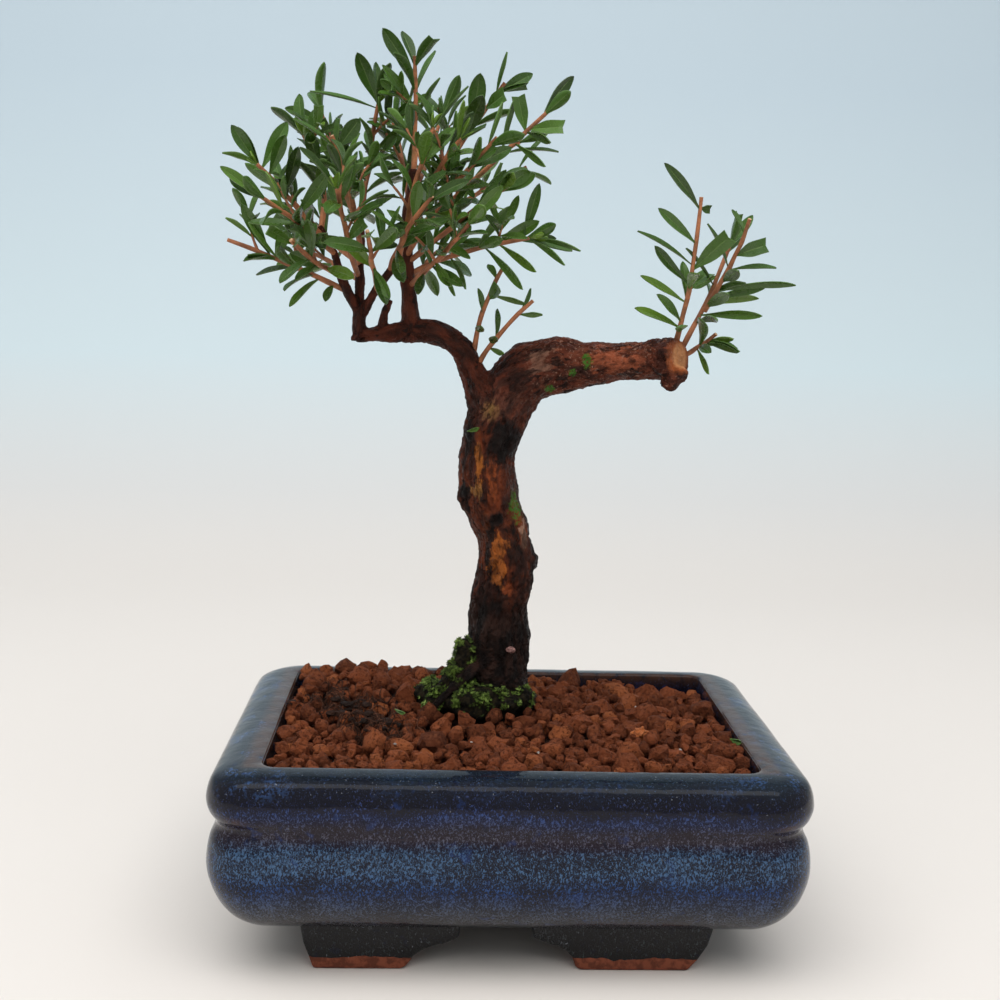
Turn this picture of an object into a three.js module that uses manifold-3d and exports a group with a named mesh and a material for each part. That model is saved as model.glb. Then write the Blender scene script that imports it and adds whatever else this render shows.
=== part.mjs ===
// A small syzygium bonsai in its glazed pot, in millimetres with +Z up.
// The origin is the centre of the pot's plan, on the surface that the feet stand on.
// +X runs along the pot's long side and -Y faces the viewer.
import * as THREE from 'three';
import * as BufferGeometryUtils from 'three/addons/utils/BufferGeometryUtils.js';
import Module from 'manifold-3d';

const wasm = await Module();
wasm.setup();

// Pot
const POT_WIDTH = 152;
const POT_DEPTH = 108;
const POT_HEIGHT = 54.5;
const RIM_END_EXTRA = 3.2;
const POT_CORNER_RADIUS = 13;
const POT_CORNER_STEPS = 3;
const POT_UNDERSIDE = 9;
const POT_FLOOR = 15;
const FOOT_FRONT = 41;
const FOOT_DEPTH = 19;
const DRAIN_HOLE_RADIUS = 6;
const DRAIN_HOLE_PLACE = 32;
const DRAIN_HOLE_SIDES = 16;

// Drain mesh
const MESH_SIDE = 20;
const MESH_THICKNESS = 1.2;
const MESH_OPENING = 5;
const MESH_PITCH = 4.2;

// Gap between pieces that touch
const GAP = 0.3;

// How uneven the lumps of wood and moss are, as a share of their radii
const SWELLING_UNEVENNESS = 0.15;
const MOSS_UNEVENNESS = 0.2;
const FIRST_MOSS_SEED = 40;

// Soil
const BED_WIDTH = 126;
const BED_DEPTH = 88;
const SOIL_LEVEL = 51.2;
const SOIL_TOP_LIMIT = 76;
const GRAIN_PITCH = 9.4;
const GRAIN_HEIGHT = 3.6;
const GRAIN_STRAY = 0.27;
const FIRST_GRAIN_SEED = 100;

// Twigs and blades
const TWIG_RADIUS_BASE = 1;
const TWIG_RADIUS_TIP = 0.8;
const TWIG_SIDES = 4;
const TWIG_STEPS = 3;
const BLADE_THICKNESS = 0.62;
const BLADE_CLEARANCE = 0.22;
const BLADE_LENGTH = 12.6;
const BLADE_WIDTH = 4;
const BLADE_OUTER_PART = 0.26;
const LAST_PAIR = 0.97;
const TRIMMED_SHARE = 0.14;
const TRIMMED_LENGTH = 0.72;

// A blade's outline: how far along each station is, and its share of the full width there
const WHOLE_LEAF = [[0, 0.08], [0.64, 1], [1, 0.4]];
const TRIMMED_LEAF = [[0, 0.08], [0.6, 0.9], [1, 0.92]];

// Turns in degrees: from pair to pair, from shoot to shoot, of a leaf out from its shoot at the
// first pair and less at the last, and the full range of what is left to chance in each
const PAIR_TURN = 90;
const SHOOT_TURN = 55;
const FIRST_SPREAD = 58;
const LAST_SPREAD = 34;
const TURN_RANGE = 26;
const SPREAD_RANGE = 16;
const ROLL_RANGE = 60;

// Bend of a blade along its length, in radians
const OUTLINE_CURL = 0.25;
const CURL_RANGE = 0.7;

const COLOURS = {
  pot: { color: 0x1f3357, roughness: 0.18, metalness: 0 },
  drainMesh: { color: 0x1c1c1c, roughness: 0.6, metalness: 0 },
  soil: { color: 0x7b3c24, roughness: 0.95, metalness: 0 },
  wood: { color: 0x4c2a1c, roughness: 0.8, metalness: 0 },
  moss: { color: 0x4f7d2b, roughness: 0.95, metalness: 0 },
  foliage: { color: 0x2f6a2d, roughness: 0.45, metalness: 0 },
};

// The pot's outline from the middle of its underside, up the outside, over the rim and down
// to the middle of its floor, as inset from the widest plan, height and further inset at the
// two short ends, where the rim is wider.
const POT_PROFILE = [
  [POT_DEPTH / 2, POT_UNDERSIDE],
  [24, POT_UNDERSIDE],
  [17, 10.2],
  [11, 12.6],
  [6, 16],
  [2.5, 20.5],
  [0.6, 25.5],
  [0, 29.5],
  [0.3, 33.5],
  [1.2, 37],
  [2.7, 39.3],
  [2.4, 40.5],
  [0.8, 42],
  [0.1, 44.5],
  [0, 47],
  [0.6, 49.8],
  [2, 52.2],
  [4, 53.7, RIM_END_EXTRA / 4],
  [6.5, 54.4, RIM_END_EXTRA / 2],
  [9.5, POT_HEIGHT, RIM_END_EXTRA],
  [10.4, 53.9, RIM_END_EXTRA],
  [10.7, 52.4, RIM_END_EXTRA],
  [11.4, 40, RIM_END_EXTRA],
  [13.5, 22, RIM_END_EXTRA],
  [17, 16.2, RIM_END_EXTRA],
  [22, POT_FLOOR, RIM_END_EXTRA],
  [POT_DEPTH / 2, POT_FLOOR],
];

// What the pot's hollow leaves for the soil
const BED_PROFILE = [
  [POT_DEPTH / 2, POT_FLOOR + GAP],
  [22.4, POT_FLOOR + GAP, RIM_END_EXTRA],
  [17.4, 16.6, RIM_END_EXTRA],
  [13.9, 22.2, RIM_END_EXTRA],
  [11.8, 40, RIM_END_EXTRA],
  [11.1, 52.4, RIM_END_EXTRA],
  [10.9, SOIL_TOP_LIMIT, RIM_END_EXTRA],
  [POT_DEPTH / 2, SOIL_TOP_LIMIT],
];

// A foot's front outline, with its carved bracket on the side that faces the pot's middle
const LEFT_FOOT = [
  [-53, 12.5],
  [-52, 7],
  [-50.5, 3],
  [-49.5, 0],
  [-27, 0],
  [-25.5, 1],
  [-24, 3.5],
  [-21, 5.6],
  [-16, 7],
  [-12.5, 8.6],
  [-12, 12.5],
];
const RIGHT_FOOT = [
  [6, 12.5],
  [6.5, 8.6],
  [11, 7],
  [14.5, 5.6],
  [16.5, 3.5],
  [17.5, 1],
  [18.5, 0],
  [46.5, 0],
  [49, 3],
  [51.5, 7],
  [53, 12.5],
];

// Woody stems: points on the axis, each with the stem's radius there
const WOOD = [
  {
    // Trunk, from below the soil up its S-curve and out along the right limb to the cut stump
    points: [
      [-2, 14, 30], [-2, 14, 46], [-2, 14, 58], [-2.3, 13.5, 66], [-2.3, 13, 74], [-2.2, 13, 84],
      [-0.7, 12, 95], [-2.4, 12, 104.2], [-6.1, 12, 115.6], [-6.2, 12, 127.8], [-3.7, 12, 139.1],
      [-0.2, 12, 145.4], [4.9, 11.5, 149.7], [12.6, 11, 152.2], [20.9, 10, 152.6],
      [30.3, 8, 153.6], [38.3, 5, 154.2], [43.8, 0.5, 154.8],
    ],
    radii: [6, 8, 9.6, 8.8, 8.2, 8, 7.7, 7.5, 8.8, 8.1, 8.2, 8.1, 7.9, 7.6, 6.4, 5.2, 5.4, 5.9],
    sides: 9,
    steps: 19,
    ridges: 0.06,
  },
  {
    // Left limb, from inside the trunk over its arch to the sharp elbow
    points: [
      [-5.5, 12, 137], [-9.4, 12, 145.1], [-12.1, 12, 151.2], [-14.9, 11, 155.7], [-20.3, 10, 159.3],
      [-25.3, 10, 160.5], [-31.9, 9, 159.8], [-37, 8, 159.2], [-43.6, 8, 158.7],
    ],
    radii: [6, 4.9, 3.7, 3.5, 3.4, 3.2, 2.7, 2.4, 2.2],
    sides: 7,
    steps: 10,
    ridges: 0.06,
  },
  {
    // Upright on the elbow, and on up its middle stem
    points: [
      [-42.9, 8, 157.2], [-43, 8, 165], [-43, 9, 171], [-43, 10, 178.5], [-43, 10, 186],
      [-43.5, 10, 192],
    ],
    radii: [2.3, 1.9, 1.4, 1.2, 1.1, 0.95],
    sides: 5,
    steps: 5,
    ridges: 0.04,
  },
  {
    // Elbow upright, left stem
    points: [[-43, 8, 164], [-47, 6, 172.5], [-49.5, 3, 180.5], [-53.5, 2, 187.5]],
    radii: [1.5, 1.3, 1.15, 0.95],
    sides: 5,
    steps: 3,
    ridges: 0.04,
  },
  {
    // Elbow upright, right stem
    points: [[-42.5, 8, 164], [-38.5, 5, 171], [-34.5, 2, 176], [-31.5, -1, 181]],
    radii: [1.5, 1.3, 1.15, 0.95],
    sides: 5,
    steps: 3,
    ridges: 0.04,
  },
  {
    // Thick upright that carries the leader
    points: [
      [-29, 10, 159.5], [-29, 10, 163], [-29.5, 10, 169], [-30.5, 10, 178], [-30.5, 11, 187.5],
      [-30, 11, 195.5], [-29, 9, 203.5],
    ],
    radii: [3.6, 2.7, 2.3, 2, 1.6, 1.3, 1],
    sides: 6,
    steps: 6,
    ridges: 0.05,
  },
  {
    // Cut stub on the left limb
    points: [[-37, 8, 158.8], [-36.2, 7, 164.6], [-34.7, 6, 168.6]],
    radii: [1.5, 1, 0.9],
    sides: 6,
    steps: 2,
    ridges: 0,
  },
  {
    // Bare root over the moss on the left
    points: [[-6, 13, 66], [-11, 8.5, 63.6], [-15.6, 6.8, 60.4], [-20.5, 5.5, 56.4]],
    radii: [2, 1.4, 1.2, 0.9],
    sides: 5,
    steps: 3,
    ridges: 0,
  },
  {
    // Root to the right
    points: [[-1, 13, 60], [7, 10, 55], [14, 7, 47]],
    radii: [5, 3, 1.4],
    sides: 5,
    steps: 3,
    ridges: 0,
  },
  {
    // Root to the back
    points: [[-2, 15, 60], [2, 23, 54], [5, 30, 46]],
    radii: [5, 3, 1.4],
    sides: 5,
    steps: 3,
    ridges: 0,
  },
  {
    // Root to the left back
    points: [[-3, 15, 60], [-12, 20, 55], [-20, 24, 47]],
    radii: [5, 3, 1.4],
    sides: 5,
    steps: 3,
    ridges: 0,
  },
];

// Rounded swellings on the wood: centre, radius on each axis
const WOOD_SWELLINGS = [
  { centre: [42, 0.5, 149.2], radii: [2.9, 2.6, 2.8] },
  { centre: [44, -0.6, 151], radii: [2.4, 2.2, 2.2] },
  { centre: [38.5, 5, 158.4], radii: [2.2, 2.2, 1.6] },
  { centre: [-12.4, 10.5, 114.6], radii: [2.6, 3.6, 5] },
];

// Cushions of moss round the foot of the trunk
const MOSS_CUSHIONS = [
  { centre: [-17, 6.5, 57], radii: [6, 5, 4.6] },
  { centre: [-21.5, 11, 57], radii: [4.6, 4.6, 3.6] },
  { centre: [-9.5, 2.8, 57], radii: [7, 5, 4.6] },
  { centre: [-2, 3, 56.6], radii: [5.6, 4.4, 4] },
  { centre: [4.6, 6, 56.8], radii: [3.2, 3, 3.4] },
  { centre: [-13.5, 7.6, 62.6], radii: [4.8, 4.6, 4.6] },
  { centre: [-11.8, 9, 69.4], radii: [3, 3.4, 5] },
];

// Leafy shoots, each a curve from base past bend to tip. Leaf pairs start the fraction from
// along it, and end near its tip or at until. Leaves that show on the plant's outline are
// placed by their tips: fraction along the shoot, tip, width, roll in degrees, and true where
// the leaf was trimmed across.
const SHOOTS = [
  {
    spray: 'leader', base: [-29, 9, 202], bend: [-28.5, 8.5, 217.5], tip: [-29, 6, 230.5],
    pairs: 4, from: 0.25,
    leaves: [[0.89, [-37.5, 3.5, 238.5], 4.4, 0], [0.55, [-38, 3, 228.5], 3.2, 25]],
  },
  {
    spray: 'top_back', base: [-30, 11, 194.5], bend: [-31.5, 22, 205.5], tip: [-37, 27, 224.5],
    pairs: 4, from: 0.3, leaves: [],
  },
  {
    spray: 'top_right', base: [-30.5, 11, 188.5], bend: [-20.5, 19.5, 206.5], tip: [-6, 18, 226.5],
    pairs: 4, from: 0.3,
    leaves: [
      [0.73, [-11.5, 16, 230], 5.4, 0], [0.63, [-10.5, 9.5, 224], 5.2, 0],
      [0.87, [-4, 14, 223.5], 4.8, 0, true], [0.99, [2, 20, 227.5], 2.8, 50, true],
    ],
  },
  {
    spray: 'right_high', base: [-30.5, 11, 185.5], bend: [-16.5, -0.5, 196.5], tip: [6, -6, 218],
    pairs: 4, from: 0.25,
    leaves: [
      [0.87, [-2, -4.5, 221.5], 4, 0, true], [0.89, [10, -7.5, 213.5], 4.2, 0, true],
      [0.87, [7, -11.5, 210], 2.8, 45], [0.8, [6, -8.5, 204.5], 2.6, 50],
    ],
  },
  {
    spray: 'right_front', base: [-30.5, 10, 180.5], bend: [-21, -9, 196], tip: [-9, -16, 208],
    pairs: 4, from: 0.35, leaves: [[0.79, [-7.5, -14.5, 207.5], 3.6, 0]],
  },
  {
    spray: 'front_high', base: [-30.5, 11, 187], bend: [-26, -14, 197.5], tip: [-16.5, -20, 208.5],
    pairs: 4, from: 0.4, leaves: [],
  },
  {
    spray: 'right_middle', base: [-30.5, 10, 178.5], bend: [-18.5, 5, 188.5], tip: [-5.5, -8, 197.5],
    pairs: 4, from: 0.3,
    leaves: [[1, [2, -10, 200.5], 4.2, 0], [0.96, [-4.5, -12, 204.5], 3.8, 15]],
  },
  {
    spray: 'right_low', base: [-30, 10, 175.5], bend: [-18, 12, 182.5], tip: [2.5, 2, 186],
    pairs: 3, from: 0.3,
    leaves: [
      [0.96, [4.5, 5, 199.5], 3.4, 0], [0.75, [5, 2, 190.5], 4, 0], [0.91, [8.5, 7.5, 190], 3, 40],
      [1, [16, 0, 184.5], 2.4, 60], [0.98, [12.5, -4, 180], 2.6, 50], [0.79, [5, -0.5, 178], 3, 40],
      [0.69, [2, -2, 173], 3, 35], [0.41, [-13, 3.5, 172.5], 2.6, 55], [0.29, [-16, 6, 171], 2.6, 60],
    ],
  },
  {
    spray: 'right_back', base: [-30.5, 11, 183.5], bend: [-16.5, 29, 197.5], tip: [1.5, 34, 207],
    pairs: 4, from: 0.3, leaves: [],
  },
  {
    spray: 'back_high', base: [-30.5, 11, 192.5], bend: [-26.5, 31, 204.5], tip: [-22, 37, 221],
    pairs: 4, from: 0.35, leaves: [],
  },
  {
    spray: 'back_low', base: [-29.5, 10, 171.5], bend: [-26.5, 26, 181], tip: [-17, 35, 186],
    pairs: 4, from: 0.4, leaves: [],
  },
  {
    spray: 'front_middle', base: [-32, -1, 180], bend: [-29.5, -17.5, 192], tip: [-23.5, -20, 211],
    pairs: 4, from: 0.3, leaves: [[0.65, [-22.5, -20.5, 192.5], 3.4, 20]],
  },
  {
    spray: 'front_low', base: [-34.5, 2, 176.5], bend: [-32.5, -15, 183], tip: [-24.5, -25, 192.5],
    pairs: 4, from: 0.35, leaves: [[0.23, [-30, -13, 172.5], 4, 0]],
  },
  {
    spray: 'front_right', base: [-29.5, 10, 172.5], bend: [-20.5, -15, 180], tip: [-14, -23, 188],
    pairs: 4, from: 0.35,
    leaves: [[0.41, [-22, -14.5, 173.5], 3, 20], [0.23, [-26.5, -7.5, 169.5], 3, 15]],
  },
  {
    spray: 'middle_front', base: [-43, 10, 179], bend: [-43, -6.5, 194], tip: [-48, -12, 206.5],
    pairs: 4, from: 0.3,
    leaves: [[0.55, [-41.5, -10, 198.5], 3.6, 0], [0.98, [-42, -14, 213], 4.6, 0]],
  },
  {
    spray: 'middle_high', base: [-43, 10, 190], bend: [-42, 18, 203.5], tip: [-39, 14, 221],
    pairs: 3, from: 0.25,
    leaves: [
      [1, [-44.5, 12, 233.5], 4.8, 0], [0.97, [-56.5, 12, 221], 3.2, 68],
      [0.6, [-29, 9.5, 216.5], 3.6, 15],
    ],
  },
  {
    spray: 'middle_back', base: [-43, 10, 183], bend: [-46.5, 29, 199.5], tip: [-54, 35, 211.5],
    pairs: 4, from: 0.3, leaves: [],
  },
  {
    spray: 'back_left', base: [-43, 9, 178], bend: [-59.5, 29, 189.5], tip: [-66.5, 32, 198.5],
    pairs: 4, from: 0.35, leaves: [],
  },
  {
    spray: 'back_left_low', base: [-43, 9, 173.5], bend: [-53.5, 27, 180.5], tip: [-61, 34, 182],
    pairs: 4, from: 0.4, leaves: [],
  },
  {
    spray: 'left_high', base: [-50.5, 2.5, 182.5], bend: [-59, -3, 192], tip: [-68.5, -8, 202],
    pairs: 2, from: 0.25,
    leaves: [
      [0.98, [-74.5, -8, 211], 3.8, 0], [0.94, [-61.5, -4.5, 212], 4.4, 0],
      [0.85, [-61, -10.5, 209.5], 3.8, 10], [0.64, [-57.5, -9.5, 206.5], 3.9, 0],
      [0.59, [-64.5, -10, 200.5], 4.4, 0],
    ],
  },
  {
    spray: 'left_middle', base: [-49.5, 3, 180.5], bend: [-54.5, -14.5, 186], tip: [-65, -22, 192.5],
    pairs: 4, from: 0.35,
    leaves: [[1, [-75, -24, 198.5], 3.2, 30], [0.64, [-48.5, -21.5, 199.5], 4, 0]],
  },
  {
    spray: 'left_low', base: [-46, 7, 170.5], bend: [-60.5, 1.5, 177.5], tip: [-77, -2, 183],
    pairs: 3, from: 0.3, until: 0.6,
    leaves: [
      [0.66, [-73, -1.5, 192], 3.8, 0], [0.63, [-61, -4, 186], 3.6, 0],
      [0.65, [-72.5, -4.5, 177], 2.8, 40], [0.25, [-60, 0.5, 165.5], 3, 40],
      [0.13, [-51.5, 3, 167.5], 2.8, 20],
    ],
  },
  {
    spray: 'left_top', base: [-43, 10, 186.5], bend: [-51, 20, 204.5], tip: [-55, 22, 219.5],
    pairs: 4, from: 0.3, leaves: [[0.9, [-64.5, 18.5, 219], 3.6, 20]],
  },
  {
    spray: 'left_upright', base: [-53, 2, 186], bend: [-50.5, 7, 200.5], tip: [-58, 4, 211],
    pairs: 4, from: 0.3,
    leaves: [[0.62, [-56.5, 1, 213], 4.2, 0], [0.34, [-52.5, -1.5, 204], 4, 0]],
  },
  {
    spray: 'left_front', base: [-47.5, 5, 175], bend: [-52, -14, 176], tip: [-57, -23, 181.5],
    pairs: 3, from: 0.35, leaves: [[0.49, [-57, -17, 172], 3, 40]],
  },
  {
    spray: 'front_left', base: [-43.5, 9, 175], bend: [-46, -22, 188], tip: [-46.5, -27, 195],
    pairs: 4, from: 0.35, leaves: [],
  },
  {
    spray: 'front_hanging', base: [-38, 5, 171], bend: [-38.5, -14, 178.5], tip: [-39, -23, 184],
    pairs: 3, from: 0.4, leaves: [[0.42, [-38.5, -15.5, 169], 3, 20]],
  },
  {
    spray: 'stump_tall', base: [42.5, 4.5, 155], bend: [47, 3, 171.5], tip: [47.5, -1, 195.5],
    pairs: 1, from: 0.5,
    leaves: [
      [0.98, [36, -5, 205], 3.4, 20], [0.79, [36, -1.5, 194], 3.2, 10], [0.66, [30, -4.5, 186], 2.6, 60],
      [0.54, [34.5, -4, 184.5], 3.2, 10], [0.42, [32, -0.5, 175.5], 3, 40],
      [0.28, [35.5, -3.5, 171.5], 3.2, 30], [0.24, [31, 0, 167], 3.2, 40],
      [0.2, [43.5, -5, 165], 3.8, 0], [0.43, [44.5, 8.5, 180], 3.2, 20],
      [0.63, [55, -4.5, 188], 5.2, 0, true], [0.99, [50, 1, 195], 2.6, 20, true],
    ],
  },
  {
    spray: 'stump_right', base: [44, 5, 154.5], bend: [54.5, 8, 174], tip: [58, 9, 186],
    pairs: 2, from: 0.5,
    leaves: [
      [0.59, [43.5, 1.5, 183], 2.6, 60], [0.91, [62, 17, 191.5], 3, 40],
      [0.4, [56.5, -3, 173.5], 3.8, 0], [0.34, [65.5, -1.5, 168], 3, 20],
      [0.28, [53.5, -6, 167], 3, 20], [0.69, [50, 12, 174], 3, 40], [0.42, [66.5, 14.5, 173], 3, 35],
    ],
  },
  {
    spray: 'stump_right', base: [51.5, 6.8, 168], bend: [57.5, 1.5, 179.5], tip: [59.5, -4, 190],
    pairs: 1, from: 0.5,
    leaves: [
      [0.93, [55.5, -1, 194], 2.6, 50], [0.67, [65, -3.5, 186.5], 4.6, 0, true],
      [0.35, [59.5, -3.5, 181], 4, 0], [0.23, [74.5, 5.5, 177.5], 2.8, 45],
      [0.14, [67, 10, 175.5], 3, 30],
    ],
  },
  {
    spray: 'stump_low', base: [43, 4.5, 154], bend: [49, 6.5, 157], tip: [52.5, 3, 160.5],
    pairs: 1, from: 0.7,
    leaves: [
      [0.9, [58.5, 1, 161.5], 2.8, 45], [1, [60, -3, 158.5], 2.6, 50], [0.84, [58, -4, 156.5], 2.6, 55],
      [0.7, [52.5, -3, 156.5], 3, 0], [0.62, [53, 0, 151.5], 2.4, 55],
    ],
  },
  {
    spray: 'crotch_tall', base: [-12, 11.5, 151.5], bend: [-10, 9, 167], tip: [-4, 6, 178.5],
    pairs: 0, from: 1,
    leaves: [
      [0.63, [-3.5, 4.5, 173], 4, 0, true], [0.68, [2.5, 10, 169.5], 2.2, 50],
      [0.46, [-11.5, 7.5, 172], 2.4, 45], [0.3, [-9.5, 4, 163], 3, 0], [0.85, [-8, 12, 178], 2.4, 30],
    ],
  },
  {
    spray: 'crotch_right', base: [-11, 12, 149.5], bend: [-7.5, 7, 158.5], tip: [4, 2, 169.5],
    pairs: 0, from: 1,
    leaves: [
      [0.42, [-6, 1, 160.5], 3, 0], [0.36, [-3, 5.5, 155.5], 2.4, 40], [0.82, [6.5, 7, 166.5], 2.2, 50],
      [0.85, [2.5, 7.5, 172.5], 2, 55], [0.5, [-6, 13, 166], 2.2, 40],
    ],
  },
];

// Ways in which a blade turns about its shoot, then lifts or drops, to stay clear of the rest
const SWINGS = [
  [0, 0], [24, 0], [-24, 0], [0, -15], [0, 15], [46, 0], [-46, 0], [24, -15], [-24, -15],
];

const FIRST_LEAF = new THREE.Vector3(0.36, 0.48, -0.8);

const vector = (place) => new THREE.Vector3(...place);

// Repeatable draw between 0 and 1 for a whole number on each of three counts
function draw(a, b, c) {
  const wave = Math.sin(a * 12.9898 + b * 78.233 + c * 37.719) * 43758.5453;
  return wave - Math.floor(wave);
}

// Closed three.js geometry as a solid with its faces pointing out
function solidOf(geometry) {
  let bare = geometry.clone();
  bare.deleteAttribute('normal');
  bare.deleteAttribute('uv');
  bare = BufferGeometryUtils.mergeVertices(bare, 1e-4);
  const vertProperties = Float32Array.from(bare.attributes.position.array);
  const triVerts = [];
  const index = bare.index.array;
  for (let i = 0; i < index.length; i += 3) {
    const [a, b, c] = [index[i], index[i + 1], index[i + 2]];
    if (a !== b && b !== c && c !== a) triVerts.push(a, b, c);
  }
  const corner = (i) => new THREE.Vector3().fromArray(vertProperties, 3 * i);
  let volume = 0;
  for (let i = 0; i < triVerts.length; i += 3) {
    const [a, b, c] = [corner(triVerts[i]), corner(triVerts[i + 1]), corner(triVerts[i + 2])];
    volume += a.dot(b.cross(c));
  }
  if (volume < 0) triVerts.reverse();
  const mesh = new wasm.Mesh({ numProp: 3, vertProperties, triVerts: Uint32Array.from(triVerts) });
  return new wasm.Manifold(mesh);
}

// The largest body of a solid, so that scraps left by a cut are dropped and sealed hollows filled
function mainBody(solid) {
  const bodies = solid.decompose();
  bodies.sort((a, b) => b.volume() - a.volume());
  return bodies[0];
}

function joined(solids) {
  return solids.reduce((sum, solid) => sum.add(solid));
}

function namedMesh(name, solid, finish) {
  const { vertProperties, triVerts } = solid.getMesh();
  const geometry = new THREE.BufferGeometry();
  geometry.setAttribute('position', new THREE.BufferAttribute(vertProperties, 3));
  geometry.setIndex(new THREE.BufferAttribute(triVerts, 1));
  geometry.computeVertexNormals();
  const mesh = new THREE.Mesh(geometry, new THREE.MeshStandardMaterial(finish));
  mesh.name = name;
  return mesh;
}

// A turned profile whose round plan is changed into a rounded rectangle
function roundedRectangleTurning(profile) {
  const perCorner = POT_CORNER_STEPS + 1;
  const columns = 4 * perCorner;
  const reach = POT_WIDTH / 2;
  const outline = profile.map(([inset, height]) => new THREE.Vector2(reach - inset, height));
  const geometry = new THREE.LatheGeometry(outline, columns);
  const position = geometry.attributes.position;
  for (let column = 0; column <= columns; column += 1) {
    const corner = Math.floor(column / perCorner) % 4;
    const turn = (corner + (column % perCorner) / POT_CORNER_STEPS) * (Math.PI / 2);
    const signX = corner === 0 || corner === 3 ? 1 : -1;
    const signY = corner < 2 ? 1 : -1;
    profile.forEach(([inset, height, endInset = 0], row) => {
      const onAxis = row === 0 || row === profile.length - 1;
      const radius = Math.max(POT_CORNER_RADIUS - 0.85 * inset, 2.5);
      const middleX = signX * (POT_WIDTH / 2 - inset - endInset - radius);
      const middleY = signY * (POT_DEPTH / 2 - inset - radius);
      const x = onAxis ? 0 : middleX + radius * Math.cos(turn);
      const y = onAxis ? 0 : middleY + radius * Math.sin(turn);
      position.setXYZ(column * profile.length + row, x, y, height);
    });
  }
  return solidOf(geometry);
}

function foot(outline, nearY) {
  const shape = new THREE.Shape(outline.map(([x, z]) => new THREE.Vector2(x, z)));
  const geometry = new THREE.ExtrudeGeometry(shape, { depth: FOOT_DEPTH, bevelEnabled: false });
  geometry.rotateX(Math.PI / 2);
  geometry.translate(0, nearY + FOOT_DEPTH, 0);
  return solidOf(geometry);
}

function box(width, depth, height, centre) {
  const geometry = new THREE.BoxGeometry(width, depth, height);
  geometry.translate(...centre);
  return solidOf(geometry);
}

function makePot() {
  const feet = [];
  for (const outline of [LEFT_FOOT, RIGHT_FOOT]) {
    feet.push(foot(outline, -FOOT_FRONT));
    feet.push(foot(outline, FOOT_FRONT - FOOT_DEPTH));
  }
  let pot = joined([roundedRectangleTurning(POT_PROFILE), ...feet]);
  for (const side of [-1, 1]) {
    const height = 3 * POT_FLOOR;
    const hole = new THREE.CylinderGeometry(DRAIN_HOLE_RADIUS, DRAIN_HOLE_RADIUS, height, DRAIN_HOLE_SIDES);
    hole.rotateX(Math.PI / 2);
    hole.translate(side * DRAIN_HOLE_PLACE, 0, 0);
    pot = pot.subtract(solidOf(hole));
  }
  return pot;
}

// Square of plastic mesh that lies over a drain hole
function makeDrainMesh(side) {
  const middle = POT_FLOOR + GAP + MESH_THICKNESS / 2;
  const place = side * DRAIN_HOLE_PLACE;
  let mesh = box(MESH_SIDE, MESH_SIDE, MESH_THICKNESS, [place, 0, middle]);
  for (const column of [-1, 1]) {
    for (const row of [-1, 1]) {
      const centre = [place + column * MESH_PITCH, row * MESH_PITCH, middle];
      mesh = mesh.subtract(box(MESH_OPENING, MESH_OPENING, 3 * MESH_THICKNESS, centre));
    }
  }
  return mesh;
}

// Radius between the listed ones, at a fraction along the stem
function radiusAt(radii, fraction) {
  const place = fraction * (radii.length - 1);
  const before = Math.min(Math.floor(place), radii.length - 2);
  return THREE.MathUtils.lerp(radii[before], radii[before + 1], place - before);
}

// A direction square to the tangent, kept as near as it can be to a starting direction
function squareTo(tangent, start) {
  return start.clone().addScaledVector(tangent, -start.dot(tangent)).normalize();
}

// A cylinder bent along a curve, with a radius that changes on the way. Its sides start
// from the given direction.
function bentCylinder(curve, radius, sides, steps, start) {
  const geometry = new THREE.CylinderGeometry(1, 1, 1, sides, steps);
  const position = geometry.attributes.position;
  for (let i = 0; i < position.count; i += 1) {
    const fraction = THREE.MathUtils.clamp(position.getY(i) + 0.5, 0, 1);
    const tangent = curve.getTangent(fraction);
    const across = squareTo(tangent, start);
    const up = new THREE.Vector3().crossVectors(tangent, across);
    const reach = radius(fraction, Math.atan2(position.getZ(i), position.getX(i)));
    const point = curve.getPoint(fraction);
    point.addScaledVector(across, reach * position.getX(i));
    point.addScaledVector(up, reach * position.getZ(i));
    position.setXYZ(i, point.x, point.y, point.z);
  }
  return solidOf(geometry);
}

function makeStem(stem, grow) {
  const curve = new THREE.CatmullRomCurve3(stem.points.map(vector), false, 'catmullrom', 0.5);
  const radius = (fraction, turn) => {
    const length = fraction * stem.points.length;
    const ridge = Math.sin(2 * turn + 0.9 * length) + 0.6 * Math.sin(3 * turn - 1.7 * length);
    return radiusAt(stem.radii, fraction) * (1 + stem.ridges * ridge) + grow;
  };
  return bentCylinder(curve, radius, stem.sides, stem.steps, new THREE.Vector3(0, 1, 0));
}

// A rounded lump with a few flat faces
function lump(centre, radii, seed, unevenness) {
  let geometry = new THREE.IcosahedronGeometry(1, 0);
  geometry.deleteAttribute('normal');
  geometry.deleteAttribute('uv');
  geometry = BufferGeometryUtils.mergeVertices(geometry);
  geometry.rotateX(2 * Math.PI * draw(seed, 1, 1));
  geometry.rotateZ(2 * Math.PI * draw(seed, 2, 1));
  const position = geometry.attributes.position;
  for (let i = 0; i < position.count; i += 1) {
    const swell = 1 + unevenness * (draw(seed, i, 2) - 0.5);
    const x = centre[0] + radii[0] * swell * position.getX(i);
    const y = centre[1] + radii[1] * swell * position.getY(i);
    const z = centre[2] + radii[2] * swell * position.getZ(i);
    position.setXYZ(i, x, y, z);
  }
  return solidOf(geometry);
}

function grown(radii, grow) {
  return radii.map((radius) => radius + grow);
}

// The whole tree's wood, or the same made thicker all round to cut its neighbours clear
function makeWood(grow) {
  const stems = WOOD.map((stem) => makeStem(stem, grow));
  const swellings = WOOD_SWELLINGS.map(({ centre, radii }, i) => (
    lump(centre, grown(radii, grow), i, SWELLING_UNEVENNESS)
  ));
  return mainBody(joined([...stems, ...swellings]));
}

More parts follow.
